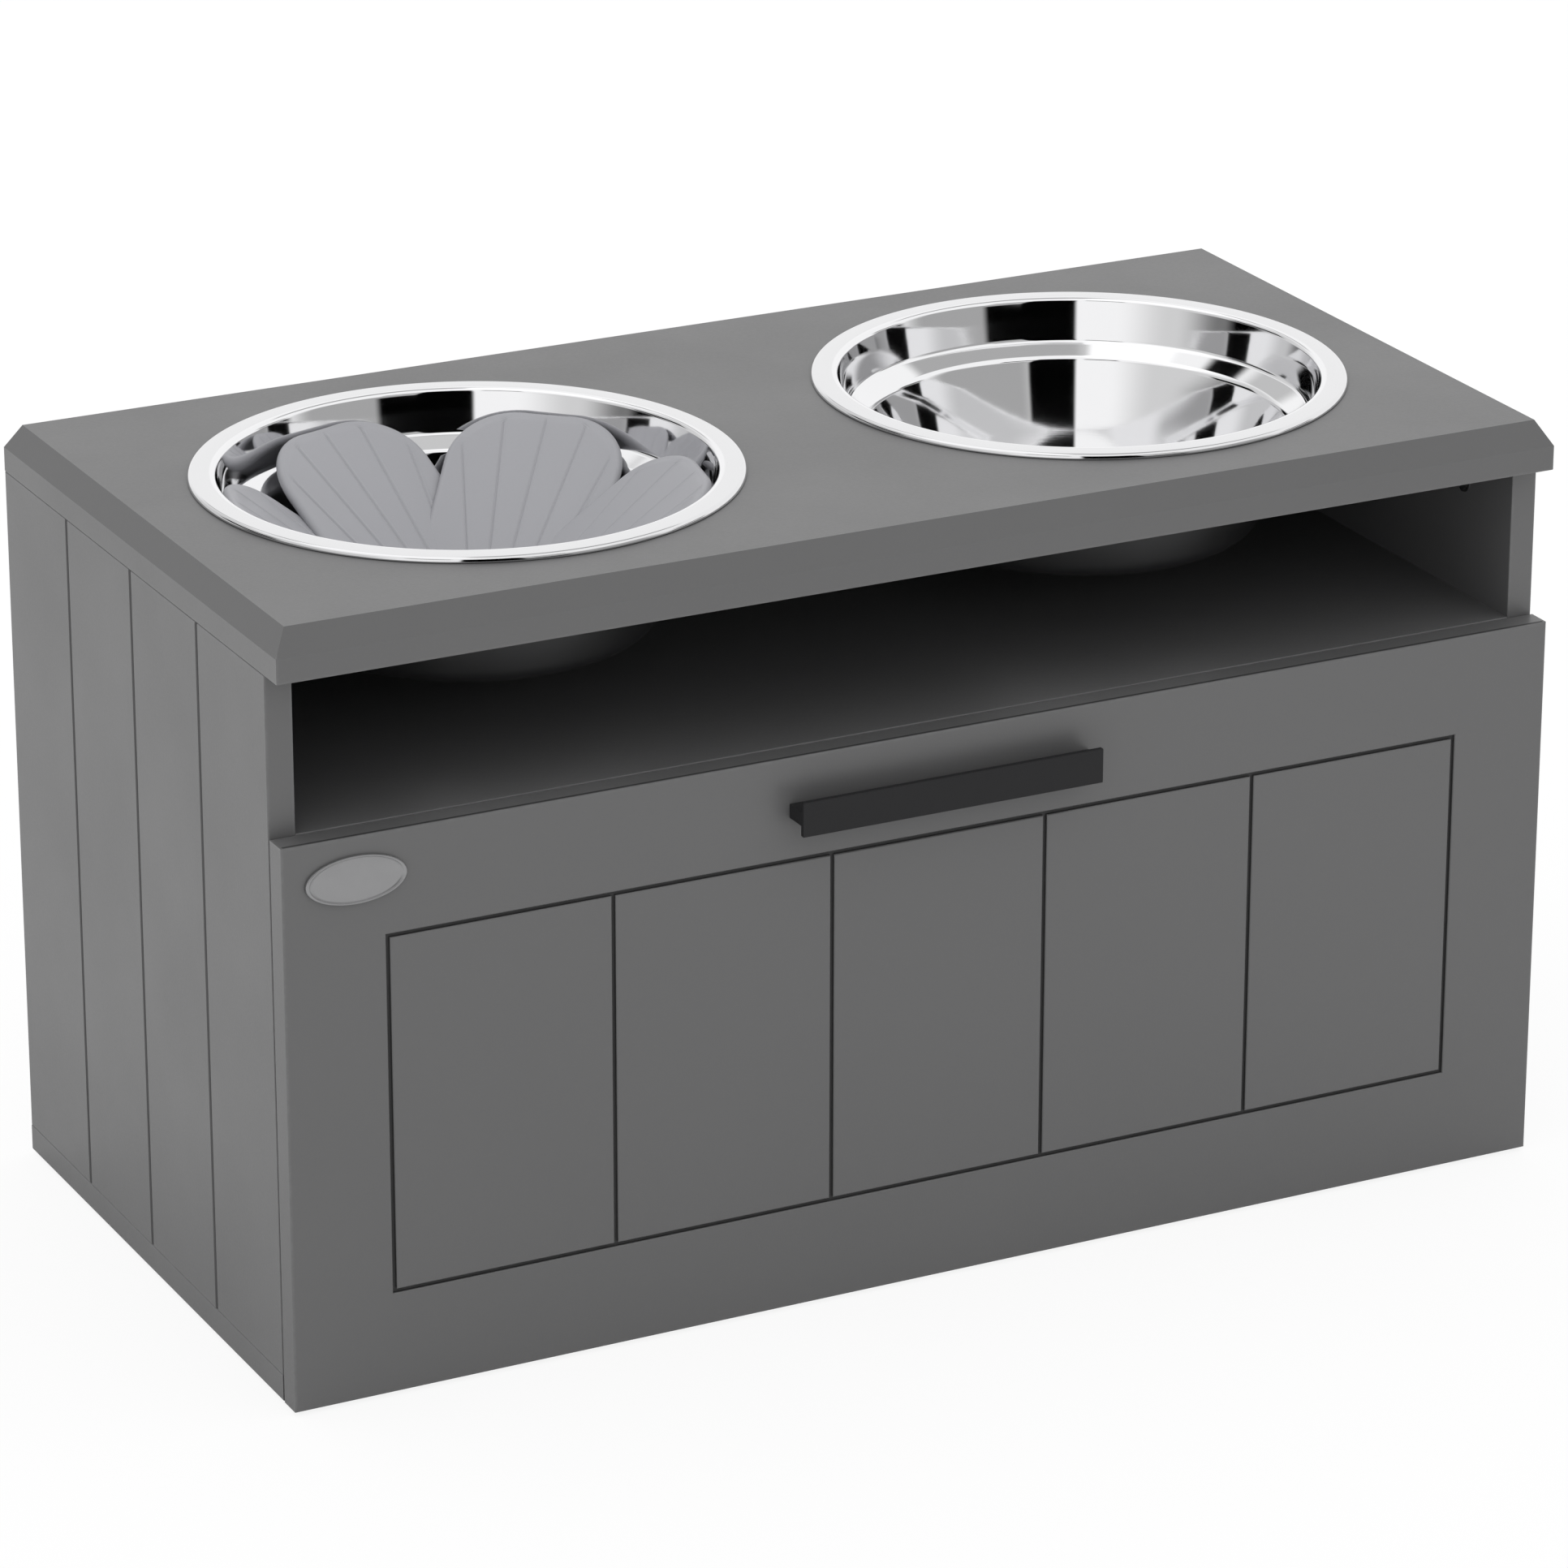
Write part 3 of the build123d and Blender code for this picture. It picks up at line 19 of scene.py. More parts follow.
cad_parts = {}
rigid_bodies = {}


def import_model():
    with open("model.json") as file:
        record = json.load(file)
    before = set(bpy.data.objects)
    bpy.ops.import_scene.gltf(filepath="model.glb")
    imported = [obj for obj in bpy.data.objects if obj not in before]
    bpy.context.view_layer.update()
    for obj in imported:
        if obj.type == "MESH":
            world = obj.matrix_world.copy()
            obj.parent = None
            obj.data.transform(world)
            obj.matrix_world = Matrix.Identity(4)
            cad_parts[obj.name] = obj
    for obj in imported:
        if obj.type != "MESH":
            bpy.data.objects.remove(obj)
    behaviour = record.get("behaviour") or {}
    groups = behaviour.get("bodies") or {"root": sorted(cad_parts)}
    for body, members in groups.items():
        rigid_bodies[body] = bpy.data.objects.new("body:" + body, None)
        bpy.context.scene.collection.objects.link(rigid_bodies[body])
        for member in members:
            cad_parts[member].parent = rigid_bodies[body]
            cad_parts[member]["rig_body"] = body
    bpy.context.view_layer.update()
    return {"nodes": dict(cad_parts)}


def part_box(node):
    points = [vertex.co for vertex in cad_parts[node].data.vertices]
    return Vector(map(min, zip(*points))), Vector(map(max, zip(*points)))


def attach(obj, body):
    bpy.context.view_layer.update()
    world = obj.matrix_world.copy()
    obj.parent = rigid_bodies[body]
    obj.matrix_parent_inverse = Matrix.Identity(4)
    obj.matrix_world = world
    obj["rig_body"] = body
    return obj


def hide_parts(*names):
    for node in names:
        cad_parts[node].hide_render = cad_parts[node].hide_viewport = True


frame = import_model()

log = logging.getLogger("feeder")

MM = 0.001
FULL_TURN = 360.0
SIDES = {"left": -1.0, "right": 1.0}
Point2 = tuple[float, float]
Point3 = tuple[float, float, float]
Colour = tuple[float, float, float]
Seats = tuple[str, str, str, str, list[tuple[Point3, Point3]]]  # solids, fitting, body, slot, places


# ---------------------------------------------------------------- shader expressions
class Wire:
    """An output socket in a node tree; arithmetic on it adds Math nodes."""

    def __init__(self, shader: "Shader", socket: bpy.types.NodeSocket) -> None:
        """Wrap a socket.

        Args:
            shader: Shader whose tree holds the socket.
            socket: The output socket.
        """
        self.shader = shader
        self.socket = socket

    def _math(self, operation: str, *values: object) -> "Wire":
        """Math node with this operation on the given values."""
        inputs = {index: value for index, value in enumerate(values)}
        return self.shader.node("ShaderNodeMath", {"operation": operation}, inputs)

    def __add__(self, other: object) -> "Wire":
        """Sum."""
        return self._math("ADD", self, other)

    __radd__ = __add__

    def __sub__(self, other: object) -> "Wire":
        """Difference."""
        return self._math("SUBTRACT", self, other)

    def __rsub__(self, other: object) -> "Wire":
        """Reflected difference."""
        return self._math("SUBTRACT", other, self)

    def __mul__(self, other: object) -> "Wire":
        """Product."""
        return self._math("MULTIPLY", self, other)

    __rmul__ = __mul__

    def __pow__(self, other: object) -> "Wire":
        """Power."""
        return self._math("POWER", self, other)

    def __abs__(self) -> "Wire":
        """Absolute value."""
        return self._math("ABSOLUTE", self)

    def least(self, other: object) -> "Wire":
        """The smaller of two values."""
        return self._math("MINIMUM", self, other)

    def most(self, other: object) -> "Wire":
        """The larger of two values."""
        return self._math("MAXIMUM", self, other)

    def swing(self, reach: float) -> "Wire":
        """How far a noise is from its mean of a half, times a reach."""
        return (self - 0.5) * reach

    def heading(self, ahead: "Wire", first: float = 75.0) -> "Wire":
        """Degrees from the ahead axis round to this one, from the first up to a full turn more."""
        turn = self._math("ARCTAN2", self, ahead) * degrees(1.0)
        return self._math("MODULO", turn + (FULL_TURN - first), FULL_TURN) + first

    def arcsine(self) -> "Wire":
        """Angle in degrees whose sine this is."""
        return self._math("ARCSINE", self) * degrees(1.0)

    def fade(self, low: float, high: float, start: float = 0.0, end: float = 1.0) -> "Wire":
        """Smooth step from start to end between two levels.

        Args:
            low: Level at which the result is start.
            high: Level at which the result is end.
            start: Result at the low level.
            end: Result at the high level.

        Returns:
            The stepped value.
        """
        settings = {"interpolation_type": "SMOOTHSTEP"}
        values = {"Value": self, "From Min": low, "From Max": high, "To Min": start, "To Max": end}
        return self.shader.node("ShaderNodeMapRange", settings, values)


class Shader:
    """Node tree of a material or the world, with one method that makes any node."""

    def __init__(self, tree: bpy.types.NodeTree) -> None:
        """Empty the tree.

        Args:
            tree: Node tree to fill.
        """
        self.tree = tree
        tree.nodes.clear()

    def node(self, kind: str, settings: Optional[dict] = None, inputs: Optional[dict] = None,
             output: object = 0) -> Optional[Wire]:
        """Add one node.

        Args:
            kind: The node's type.
            settings: Attributes set first.
            inputs: Values or wires by socket name or number.
            output: Name or number of the output to return.

        Returns:
            The chosen output, or nothing from a node that has none.
        """
        made = self.tree.nodes.new(kind)
        for key, value in (settings or {}).items():
            setattr(made, key, value)
        for key, value in (inputs or {}).items():
            socket = made.inputs[key]
            if isinstance(value, Wire):
                self.tree.links.new(value.socket, socket)
            else:
                socket.default_value = value
        return Wire(self, made.outputs[output]) if made.outputs else None

    def place(self) -> Wire:
        """The point's place in the object's own coordinates."""
        return self.node("ShaderNodeTexCoord", output="Object")

    def moved(self, point: Wire, offset: Sequence[float], scale: Sequence[float] = (1, 1, 1)) -> Wire:
        """Point shifted and then stretched.

        Args:
            point: The point.
            offset: What is added to it.
            scale: Factor for each axis, after the shift.

        Returns:
            The new point.
        """
        shifted = self.node("ShaderNodeVectorMath", {"operation": "ADD"}, {0: point, 1: offset})
        return self.node("ShaderNodeVectorMath", {"operation": "MULTIPLY"}, {0: shifted, 1: scale})

    def split(self, point: Wire) -> tuple[Wire, Wire, Wire]:
        """The three coordinates of a point."""
        made = self.node("ShaderNodeSeparateXYZ", None, {0: point}).socket.node
        return tuple(Wire(self, made.outputs[axis]) for axis in "XYZ")

    def noise(self, point: Wire, scale: float, detail: float = 2.0, rough: float = 0.5) -> Wire:
        """Noise around 0.5.

        Args:
            point: Where it is read.
            scale: Features per metre.
            detail: Number of finer layers.
            rough: Strength of the finer layers.

        Returns:
            The noise.
        """
        return self.node("ShaderNodeTexNoise", {"noise_dimensions": "3D"},
                         {"Vector": point, "Scale": scale, "Detail": detail, "Roughness": rough})

    def blend(self, share: object, first: object, second: object) -> Wire:
        """Colour between two colours.

        Args:
            share: 0 for the first, 1 for the second.
            first: Colour or wire.
            second: Colour or wire.

        Returns:
            The mixed colour.
        """
        made = self.tree.nodes.new("ShaderNodeMix")
        made.data_type = "RGBA"
        for index, value in ((0, share), (6, first), (7, second)):
            if isinstance(value, Wire):
                self.tree.links.new(value.socket, made.inputs[index])
            else:
                made.inputs[index].default_value = value if index == 0 else (*value[:3], 1.0)
        return Wire(self, made.outputs[2])

    def shade(self, colour: Colour, factor: Wire) -> Wire:
        """Colour multiplied by a number at each point."""
        grey = self.node("ShaderNodeCombineColor", None, {0: factor, 1: factor, 2: factor})
        return self.node("ShaderNodeVectorMath", {"operation": "MULTIPLY"}, {0: grey, 1: colour[:3]})

    def bump(self, height: Wire, distance: float) -> Wire:
        """Normal bent by a height.

        Args:
            height: Height from 0 to 1.
            distance: What a height of 1 means, in metres.

        Returns:
            The bent normal.
        """
        return self.node("ShaderNodeBump", None, {"Height": height, "Distance": distance, "Strength": 1.0})


@dataclass(frozen=True)
class Finish:
    """Base of all finishes: a named material with a principled shader."""

    name: str
    colour: Colour
    roughness: float = 0.4
    metallic: float = 0.0
    specular: float = 0.5

    def build(self) -> bpy.types.Material:
        """Make the material."""
        material = bpy.data.materials.new(self.name)
        material.use_nodes = True
        shader = Shader(material.node_tree)
        inputs = {"Metallic": self.metallic, "Specular IOR Level": self.specular}
        inputs.update(self.surface(shader))
        principled = shader.node("ShaderNodeBsdfPrincipled", None, inputs)
        shader.node("ShaderNodeOutputMaterial", None, {"Surface": principled})
        material.diffuse_color = (*self.colour, 1.0)
        material.metallic = self.metallic
        material.roughness = self.roughness
        return material

    def surface(self, shader: Shader) -> dict:
        """Inputs of the principled shader, by socket name."""
        raise NotImplementedError

    def skin(self, shader: Shader, tone: Wire, gloss: Wire, height: Wire, depth: float) -> dict:
        """Inputs of the usual kind.

        Args:
            shader: Shader that they belong to.
            tone: Factor on the colour.
            gloss: What is added to the roughness.
            height: Height of the surface from 0 to 1.
            depth: What a height of 1 means, in metres.

        Returns:
            Colour, roughness and normal by socket name.
        """
        return {"Base Color": shader.shade(self.colour, tone), "Roughness": self.roughness + gloss,
                "Normal": shader.bump(height, depth)}


@dataclass(frozen=True)
class BoardPaint(Finish):
    """Satin paint on fibreboard, with a fine roller texture, eased edges lightened by painted highlight and
    wear, and painted shade in the grooves.
    """

    low: Sequence[float] = (0.0, 0.0, 0.0)
    high: Sequence[float] = (1.0, 1.0, 1.0)
    groove_axis: int = -1
    groove_level: float = 0.0
    groove_depth: float = 0.8 * MM
    grain: float = 1100.0
    edge_width: float = 1.6 * MM
    edge_highlight: float = 1.35
    groove_shade: float = 0.12
    peel: float = 0.05 * MM

    def room(self, values: Sequence[Wire], axis: int) -> Wire:
        """How deep a point lies between the board's two faces across one axis."""
        low, high = self.low[axis], self.high[axis]
        return (high - low) / 2 - abs(values[axis] - (low + high) / 2)

    def edge(self, shader: Shader, point: Wire) -> Wire:
        """1 along the board's edges and 0 on its faces."""
        values = shader.split(point)
        first, second, third = [self.room(values, axis) for axis in range(3)]
        middle = first.least(second).most(first.most(second).least(third))
        return middle.fade(0.0, self.edge_width, 1.0, 0.0)

    def groove(self, shader: Shader, point: Wire) -> Wire:
        """1 down in the board's grooves, 0 on its faces and on its edges."""
        values = shader.split(point)
        sunk = abs(values[self.groove_axis] - self.groove_level)
        mask = sunk.fade(self.groove_depth * 0.25, self.groove_depth * 0.8)
        mask = mask * sunk.fade(self.groove_depth * 1.2, self.groove_depth * 1.5, 1.0, 0.0)
        across = self.room(values, 1 - self.groove_axis)
        return mask * across.fade(0.8 * MM, 1.4 * MM)

    def surface(self, shader: Shader) -> dict:
        """Paint: cloudy colour, edges lighter from painted highlight and wear, painted shade in the grooves
        and a roller's fine grain.
        """
        point = shader.place()
        cloud = shader.noise(point, 14.0, 3.0, 0.55)
        speck = shader.noise(shader.moved(point, (3.1, 1.7, 0.4)), self.grain * 0.6, 2.0, 0.6)
        colour = shader.shade(self.colour, 1.0 + cloud.swing(0.07) + speck.swing(0.05))
        edge = self.edge(shader, point)
        # painted highlight along the board's edges, made patchy by a wear noise: partly wear, mostly
        # painted light
        wear_and_sheen = shader.noise(shader.moved(point, (0.3, 2.2, 5.1)), 160.0, 3.0, 0.7).fade(0.42, 0.62)
        highlight_colour = tuple(min(1.0, part * self.edge_highlight) for part in self.colour)
        colour = shader.blend(edge * (0.25 + 0.35 * wear_and_sheen), colour, highlight_colour)
        roughness = self.roughness + cloud.swing(0.16) + speck.swing(0.1)
        if self.groove_axis >= 0:
            groove = self.groove(shader, point)
            # painted shade down in the grooves and routed lines, where the recess shades them
            dark = tuple(part * self.groove_shade for part in self.colour)
            colour = shader.blend(groove * 0.8, colour, dark)
            roughness = roughness + groove * 0.3
        peel = shader.noise(point, self.grain, 3.0, 0.6)
        wave = shader.noise(shader.moved(point, (0.9, 0.2, 0.7)), 120.0, 1.0, 0.5)
        normal = shader.bump(peel * 0.7 + wave * 0.5, self.peel)
        return {"Base Color": colour, "Roughness": roughness, "Normal": normal}


@dataclass(frozen=True)
class Hardboard(Finish):
    """Thin panel: a printed grey face with pressed fibres."""

    def surface(self, shader: Shader) -> dict:
        """Short fibres that lie along the panel, in the colour and the height."""
        point = shader.place()
        fibre = shader.noise(shader.moved(point, (0, 0, 0), (1.0, 1.0, 0.25)), 700.0, 4.0, 0.65)
        patch = shader.noise(point, 25.0, 3.0, 0.6)
        tone = 1.0 + fibre.swing(0.22) + patch.swing(0.1)
        return self.skin(shader, tone, fibre.swing(0.2), fibre, 0.12 * MM)


@dataclass(frozen=True)
class PolishedSteel(Finish):
    """Spun and polished steel: a mirror with faint rings around the bowl's axis."""

    axis: Point2 = (0.0, 0.0)
    rim_from: float = 108.5 * MM
    rim_full: float = 109.5 * MM
    rim_shade: float = 0.1
    under_shade: float = 0.55

    def surface(self, shader: Shader) -> dict:
        """Rings of polish, painted shade on the rim, and on the faces that look down painted shade with a
        duller skin.
        """
        point = shader.place()
        x, y, z = shader.split(shader.moved(point, (-self.axis[0], -self.axis[1], 0.0)))
        radius = (x * x + y * y) ** 0.5
        ring_point = shader.node("ShaderNodeCombineXYZ", None, {0: radius, 1: z, 2: x * 0.012})
        rings = shader.noise(ring_point, 3200.0, 2.0, 0.6)
        bands = shader.noise(ring_point, 90.0, 2.0, 0.5)
        haze = shader.noise(point, 30.0, 3.0, 0.6)
        facing = shader.split(shader.node("ShaderNodeNewGeometry", output="Normal"))[2]
        under = facing.fade(-0.25, -0.02, 1.0, 0.0)
        rim = radius.fade(self.rim_from, self.rim_full)
        # painted shade: the faces that look down and the rim are darkened in the colour
        tone = (1.0 - rings * 0.02 - haze * 0.02) * (1.0 - under * self.under_shade)
        gloss = rings * 0.018 + bands * 0.02 + haze.fade(0.5, 0.75) * 0.02 + under * 0.2
        return self.skin(shader, tone * (1.0 - rim * self.rim_shade), gloss, rings, 0.0012 * MM)


@dataclass(frozen=True)
class MouldedPlastic(Finish):
    """Moulded plastic with a fine spark-eroded grain."""

    grain: float = 1500.0
    depth: float = 0.03 * MM

    def surface(self, shader: Shader) -> dict:
        """Even colour with a fine grain and slight flow marks."""
        point = shader.place()
        grain = shader.noise(point, self.grain, 2.0, 0.6)
        flow = shader.noise(point, 22.0, 2.0, 0.5)
        tone = 1.0 + grain.swing(0.06) + flow.swing(0.06)
        return self.skin(shader, tone, grain.swing(0.14) + flow.swing(0.08), grain, self.depth)


@dataclass(frozen=True)
class PowderCoat(Finish):
    """Black powder coat with the pebbled skin of baked powder."""

    def surface(self, shader: Shader) -> dict:
        """Pebbles in the normal, small changes in the gloss."""
        point = shader.place()
        pebble = shader.noise(point, 1400.0, 2.0, 0.55)
        patch = shader.noise(point, 60.0, 2.0, 0.5)
        tone = 1.0 + pebble.swing(0.2) + patch.swing(0.12)
        return self.skin(shader, tone, pebble.swing(0.16) + patch.swing(0.08), pebble, 0.06 * MM)


@dataclass(frozen=True)
class ZincPlate(Finish):
    """Bright zinc plating, a little cloudy and finely scratched along its length."""

    along: Sequence[float] = (1.0, 0.06, 1.0)

    def surface(self, shader: Shader) -> dict:
        """Clouds of the plating bath and drawn lines."""
        point = shader.place()
        drawn = shader.noise(shader.moved(point, (0, 0, 0), self.along), 1800.0, 2.0, 0.6)
        cloud = shader.noise(point, 110.0, 3.0, 0.6)
        tone = 0.94 + drawn.swing(0.12) + cloud.swing(0.2)
        return self.skin(shader, tone, drawn.swing(0.12) + cloud.swing(0.2), drawn, 0.01 * MM)


@dataclass(frozen=True)
class SatinMetal(Finish):
    """Satin silver of a small pressed plate."""

    def surface(self, shader: Shader) -> dict:
        """Slight clouds and a fine grain."""
        point = shader.place()
        grain = shader.noise(point, 2400.0, 2.0, 0.6)
        cloud = shader.noise(point, 150.0, 2.0, 0.5)
        tone = 1.0 + grain.swing(0.08) + cloud.swing(0.1)
        return self.skin(shader, tone, grain.swing(0.12), grain, 0.01 * MM)


@dataclass(frozen=True)
class SoftRubber(Finish):
    """Rubber with a matt, slightly dusty skin."""

    def surface(self, shader: Shader) -> dict:
        """Dust in the colour and a fine skin in the normal."""
        point = shader.place()
        skin = shader.noise(point, 900.0, 3.0, 0.6)
        dust = shader.noise(point, 70.0, 3.0, 0.65).fade(0.45, 0.7)
        pale = tuple(min(1.0, part * 1.8 + 0.02) for part in self.colour)
        colour = shader.blend(dust * 0.25, self.colour, pale)
        return {"Base Color": colour, "Roughness": self.roughness + skin.swing(0.15),
                "Normal": shader.bump(skin, 0.06 * MM)}


@dataclass(frozen=True)
class Beech(Finish):
    """Turned beech dowel with its short flecks."""

    along: Sequence[float] = (1.0, 1.0, 1.0)

    def surface(self, shader: Shader) -> dict:
        """Flecks along the grain."""
        point = shader.place()
        fleck = shader.noise(shader.moved(point, (0, 0, 0), self.along), 900.0, 3.0, 0.6)
        dark = tuple(part * 0.62 for part in self.colour)
        colour = shader.blend(fleck.fade(0.4, 0.7), self.colour, dark)
        return {"Base Color": colour, "Roughness": self.roughness + fleck.swing(0.2),
                "Normal": shader.bump(fleck, 0.08 * MM)}


# ---------------------------------------------------------------- meshes
def new_object(name: str, mesh: bpy.types.Mesh) -> bpy.types.Object:
    """Object for a mesh, linked to the scene."""
    made = bpy.data.objects.new(name, mesh)
    bpy.context.scene.collection.objects.link(made)
    return made


def mesh_from(name: str, points: Iterable[Sequence[float]], faces: Iterable[Sequence[int]],
              weld: float = 0.004 * MM) -> bpy.types.Mesh:
    """Smooth mesh with merged doubles and outward faces.

    Args:
        name: Name of the mesh.
        points: Places of the vertices.
        faces: Vertex numbers of each face.
        weld: Distance under which vertices merge.

    Returns:
        The mesh.
    """
    mesh = bpy.data.meshes.new(name)
    mesh.from_pydata([tuple(point) for point in points], [], [tuple(face) for face in faces])
    work = bmesh.new()
    work.from_mesh(mesh)
    bmesh.ops.remove_doubles(work, verts=work.verts, dist=weld)
    bmesh.ops.dissolve_degenerate(work, edges=work.edges, dist=weld / 4)
    bmesh.ops.recalc_face_normals(work, faces=work.faces)
    for face in work.faces:
        face.smooth = True
    work.to_mesh(mesh)
    work.free()
    return mesh


def rounded_path(corners: Sequence[Point2], radii: Sequence[float], steps: int = 8) -> list[Point2]:
    """Open polyline with its inner corners turned into arcs.

    Args:
        corners: The polyline's corners.
        radii: Radius at each inner corner.
        steps: Points on each arc, less one.

    Returns:
        The points of the rounded line.
    """
    path = [corners[0]]
    for before, corner, after, radius in zip(corners, corners[1:], corners[2:], radii):
        here = Vector(corner)
        back = (Vector(before) - here).normalized()
        ahead = (Vector(after) - here).normalized()
        half = back.angle(ahead) / 2
        centre = here + (back + ahead).normalized() * (radius / sin(half))
        start = here + back * (radius / tan(half)) - centre
        end = here + ahead * (radius / tan(half)) - centre
        sweep = start.angle_signed(end)
        for step in range(steps + 1):
            turned = Matrix.Rotation(-sweep * step / steps, 2) @ start
            path.append(tuple(centre + turned))
    path.append(corners[-1])
    return path


def offset_path(path: Sequence[Point2], distance: float) -> list[Point2]:
    """Line beside an open polyline, to its left.

    Args:
        path: The polyline.
        distance: How far beside it.

    Returns:
        The points of the new line.
    """
    moved = []
    for index, point in enumerate(path):
        before = Vector(path[max(index - 1, 0)])
        after = Vector(path[min(index + 1, len(path) - 1)])
        along = (after - before).normalized()
        moved.append((point[0] - along.y * distance, point[1] + along.x * distance))
    return moved


def turned_mesh(name: str, profile: Sequence[Point2], turns: int, centre: Sequence[float] = (0, 0, 0),
                squeeze: float = 1.0) -> bpy.types.Mesh:
    """Closed profile of radius and height, turned about an upright axis.

    Args:
        name: Name of the mesh.
        profile: Radius and height of each point, in order round the section.
        turns: Steps round the axis.
        centre: Place of the axis and of height zero.
        squeeze: Factor in Y, for an oval.

    Returns:
        The mesh.
    """
    points, faces = [], []
    count = len(profile)
    for turn in range(turns):
        angle = 2 * pi * turn / turns
        for radius, height in profile:
            points.append((centre[0] + radius * cos(angle), centre[1] + radius * sin(angle) * squeeze,
                           centre[2] + height))
    for turn in range(turns):
        here, there = turn * count, (turn + 1) % turns * count
        for index in range(count):
            following = (index + 1) % count
            faces.append((here + index, here + following, there + following, there + index))
    return mesh_from(name, points, faces)


def bar_mesh(name: str, section: Sequence[Point2], ends: Point2, bevel: float,
             segments: int = 3) -> bpy.types.Mesh:
    """Section in Y and Z drawn along X, with its sharp edges rounded.

    Args:
        name: Name of the mesh.
        section: Corners of the section, in Y and Z.
        ends: First and last X.
        bevel: Radius of the edges.
        segments: Steps on each rounded edge.

    Returns:
        The mesh.
    """
    work = bmesh.new()
    rings = [[work.verts.new((x, y, z)) for y, z in section] for x in ends]
    work.faces.new(rings[0])
    work.faces.new(list(reversed(rings[1])))
    for index in range(len(section)):
        following = (index + 1) % len(section)
        work.faces.new((rings[0][following], rings[0][index], rings[1][index], rings[1][following]))
    bmesh.ops.recalc_face_normals(work, faces=work.faces)
    bmesh.ops.bevel(work, geom=list(work.edges), offset=bevel, segments=segments, profile=0.5,
                    affect="EDGES", clamp_overlap=True)
    for face in work.faces:
        face.smooth = True
    mesh = bpy.data.meshes.new(name)
    work.to_mesh(mesh)
    work.free()
    return mesh


def make_plain(piece: bpy.types.Object) -> None:
    """Turn an object's modifiers into its plain mesh."""
    graph = bpy.context.evaluated_depsgraph_get()
    mesh = bpy.data.meshes.new_from_object(piece.evaluated_get(graph), depsgraph=graph)
    piece.modifiers.clear()
    piece.data = mesh


def harden(piece: bpy.types.Object) -> None:
    """Keep flat faces flat beside rounded edges, through weighted normals kept in the mesh."""
    modifier = piece.modifiers.new("flat", "WEIGHTED_NORMAL")
    modifier.keep_sharp = True
    make_plain(piece)


# ---------------------------------------------------------------- geometry trees
class PieceTree:
    """Geometry node tree with named inputs, made in code and applied to one object."""

    def __init__(self, name: str) -> None:
        """Start an empty tree.

        Args:
            name: Name of the tree.
        """
        self.tree = bpy.data.node_groups.new(name, "GeometryNodeTree")
        self.tree.interface.new_socket("Geometry", in_out="INPUT", socket_type="NodeSocketGeometry")
        self.tree.interface.new_socket("Geometry", in_out="OUTPUT", socket_type="NodeSocketGeometry")
        self.named: dict[str, str] = {}
        self.entry: Optional[bpy.types.Node] = None

    def add_input(self, name: str, kind: str) -> None:
        """Declare a named input.

        Args:
            name: Name of the input.
            kind: Socket type, such as NodeSocketFloat.
        """
        socket = self.tree.interface.new_socket(name, in_out="INPUT", socket_type=kind)
        self.named[name] = socket.identifier

    def open(self) -> None:
        """Add the group's input node, once all inputs are declared."""
        self.entry = self.tree.nodes.new("NodeGroupInput")

    def given(self, name: str) -> bpy.types.NodeSocket:
        """Output socket of a named input."""
        return self.entry.outputs[name]

    def node(self, kind: str, settings: Optional[dict] = None, inputs: Optional[dict] = None,
             output: object = 0) -> bpy.types.NodeSocket:
        """Add one node.

        Args:
            kind: The node's type.
            settings: Attributes set first.
            inputs: Values or sockets by socket name or number.
            output: Name or number of the output to return.

        Returns:
            The chosen output.
        """
        made = self.tree.nodes.new(kind)
        for key, value in (settings or {}).items():
            setattr(made, key, value)
        for key, value in (inputs or {}).items():
            if isinstance(value, bpy.types.NodeSocket):
                self.tree.links.new(value, made.inputs[key])
            else:
                made.inputs[key].default_value = value
        return made.outputs[output]

    def close(self, geometry: bpy.types.NodeSocket) -> None:
        """End with real geometry and one material.

        Args:
            geometry: Socket with the instances.
        """
        real = self.node("GeometryNodeRealizeInstances", None, {"Geometry": geometry})
        dressed = self.node("GeometryNodeSetMaterial", None,
                            {"Geometry": real, "Material": self.given("Material")})
        leave = self.tree.nodes.new("NodeGroupOutput")
        self.tree.links.new(dressed, leave.inputs[0])

    def apply(self, piece: bpy.types.Object, values: dict) -> None:
        """Run the tree on an object and keep the result as a plain mesh.

        Args:
            piece: The object.
            values: Value of each named input.
        """
        modifier = piece.modifiers.new(self.tree.name, "NODES")
        modifier.node_group = self.tree
        for name, value in values.items():
            modifier[self.named[name]] = value
        make_plain(piece)


class RingTree(PieceTree):
    """Copies of a mesh turned round an upright axis."""

    def __init__(self) -> None:
        """Build the tree: points on the axis, each with its own turn."""
        super().__init__("ring_of_copies")
        for name, kind in (("Count", "NodeSocketInt"), ("Start", "NodeSocketFloat"),
                           ("Centre", "NodeSocketVector"), ("Material", "NodeSocketMaterial")):
            self.add_input(name, kind)
        self.open()
        points = self.node("GeometryNodePoints", None, {"Count": self.given("Count")})
        index = self.node("GeometryNodeInputIndex")
        step = self.node("ShaderNodeMath", {"operation": "DIVIDE"}, {0: 2 * pi, 1: self.given("Count")})
        turn = self.node("ShaderNodeMath", {"operation": "MULTIPLY_ADD"},
                         {0: index, 1: step, 2: self.given("Start")})
        angles = self.node("ShaderNodeCombineXYZ", None, {2: turn})
        copies = self.node("GeometryNodeInstanceOnPoints", None,
                           {"Points": points, "Instance": self.given("Geometry"), "Rotation": angles})
        placed = self.node("GeometryNodeTransform", None,
                           {"Geometry": copies, "Translation": self.given("Centre")})
        self.close(placed)


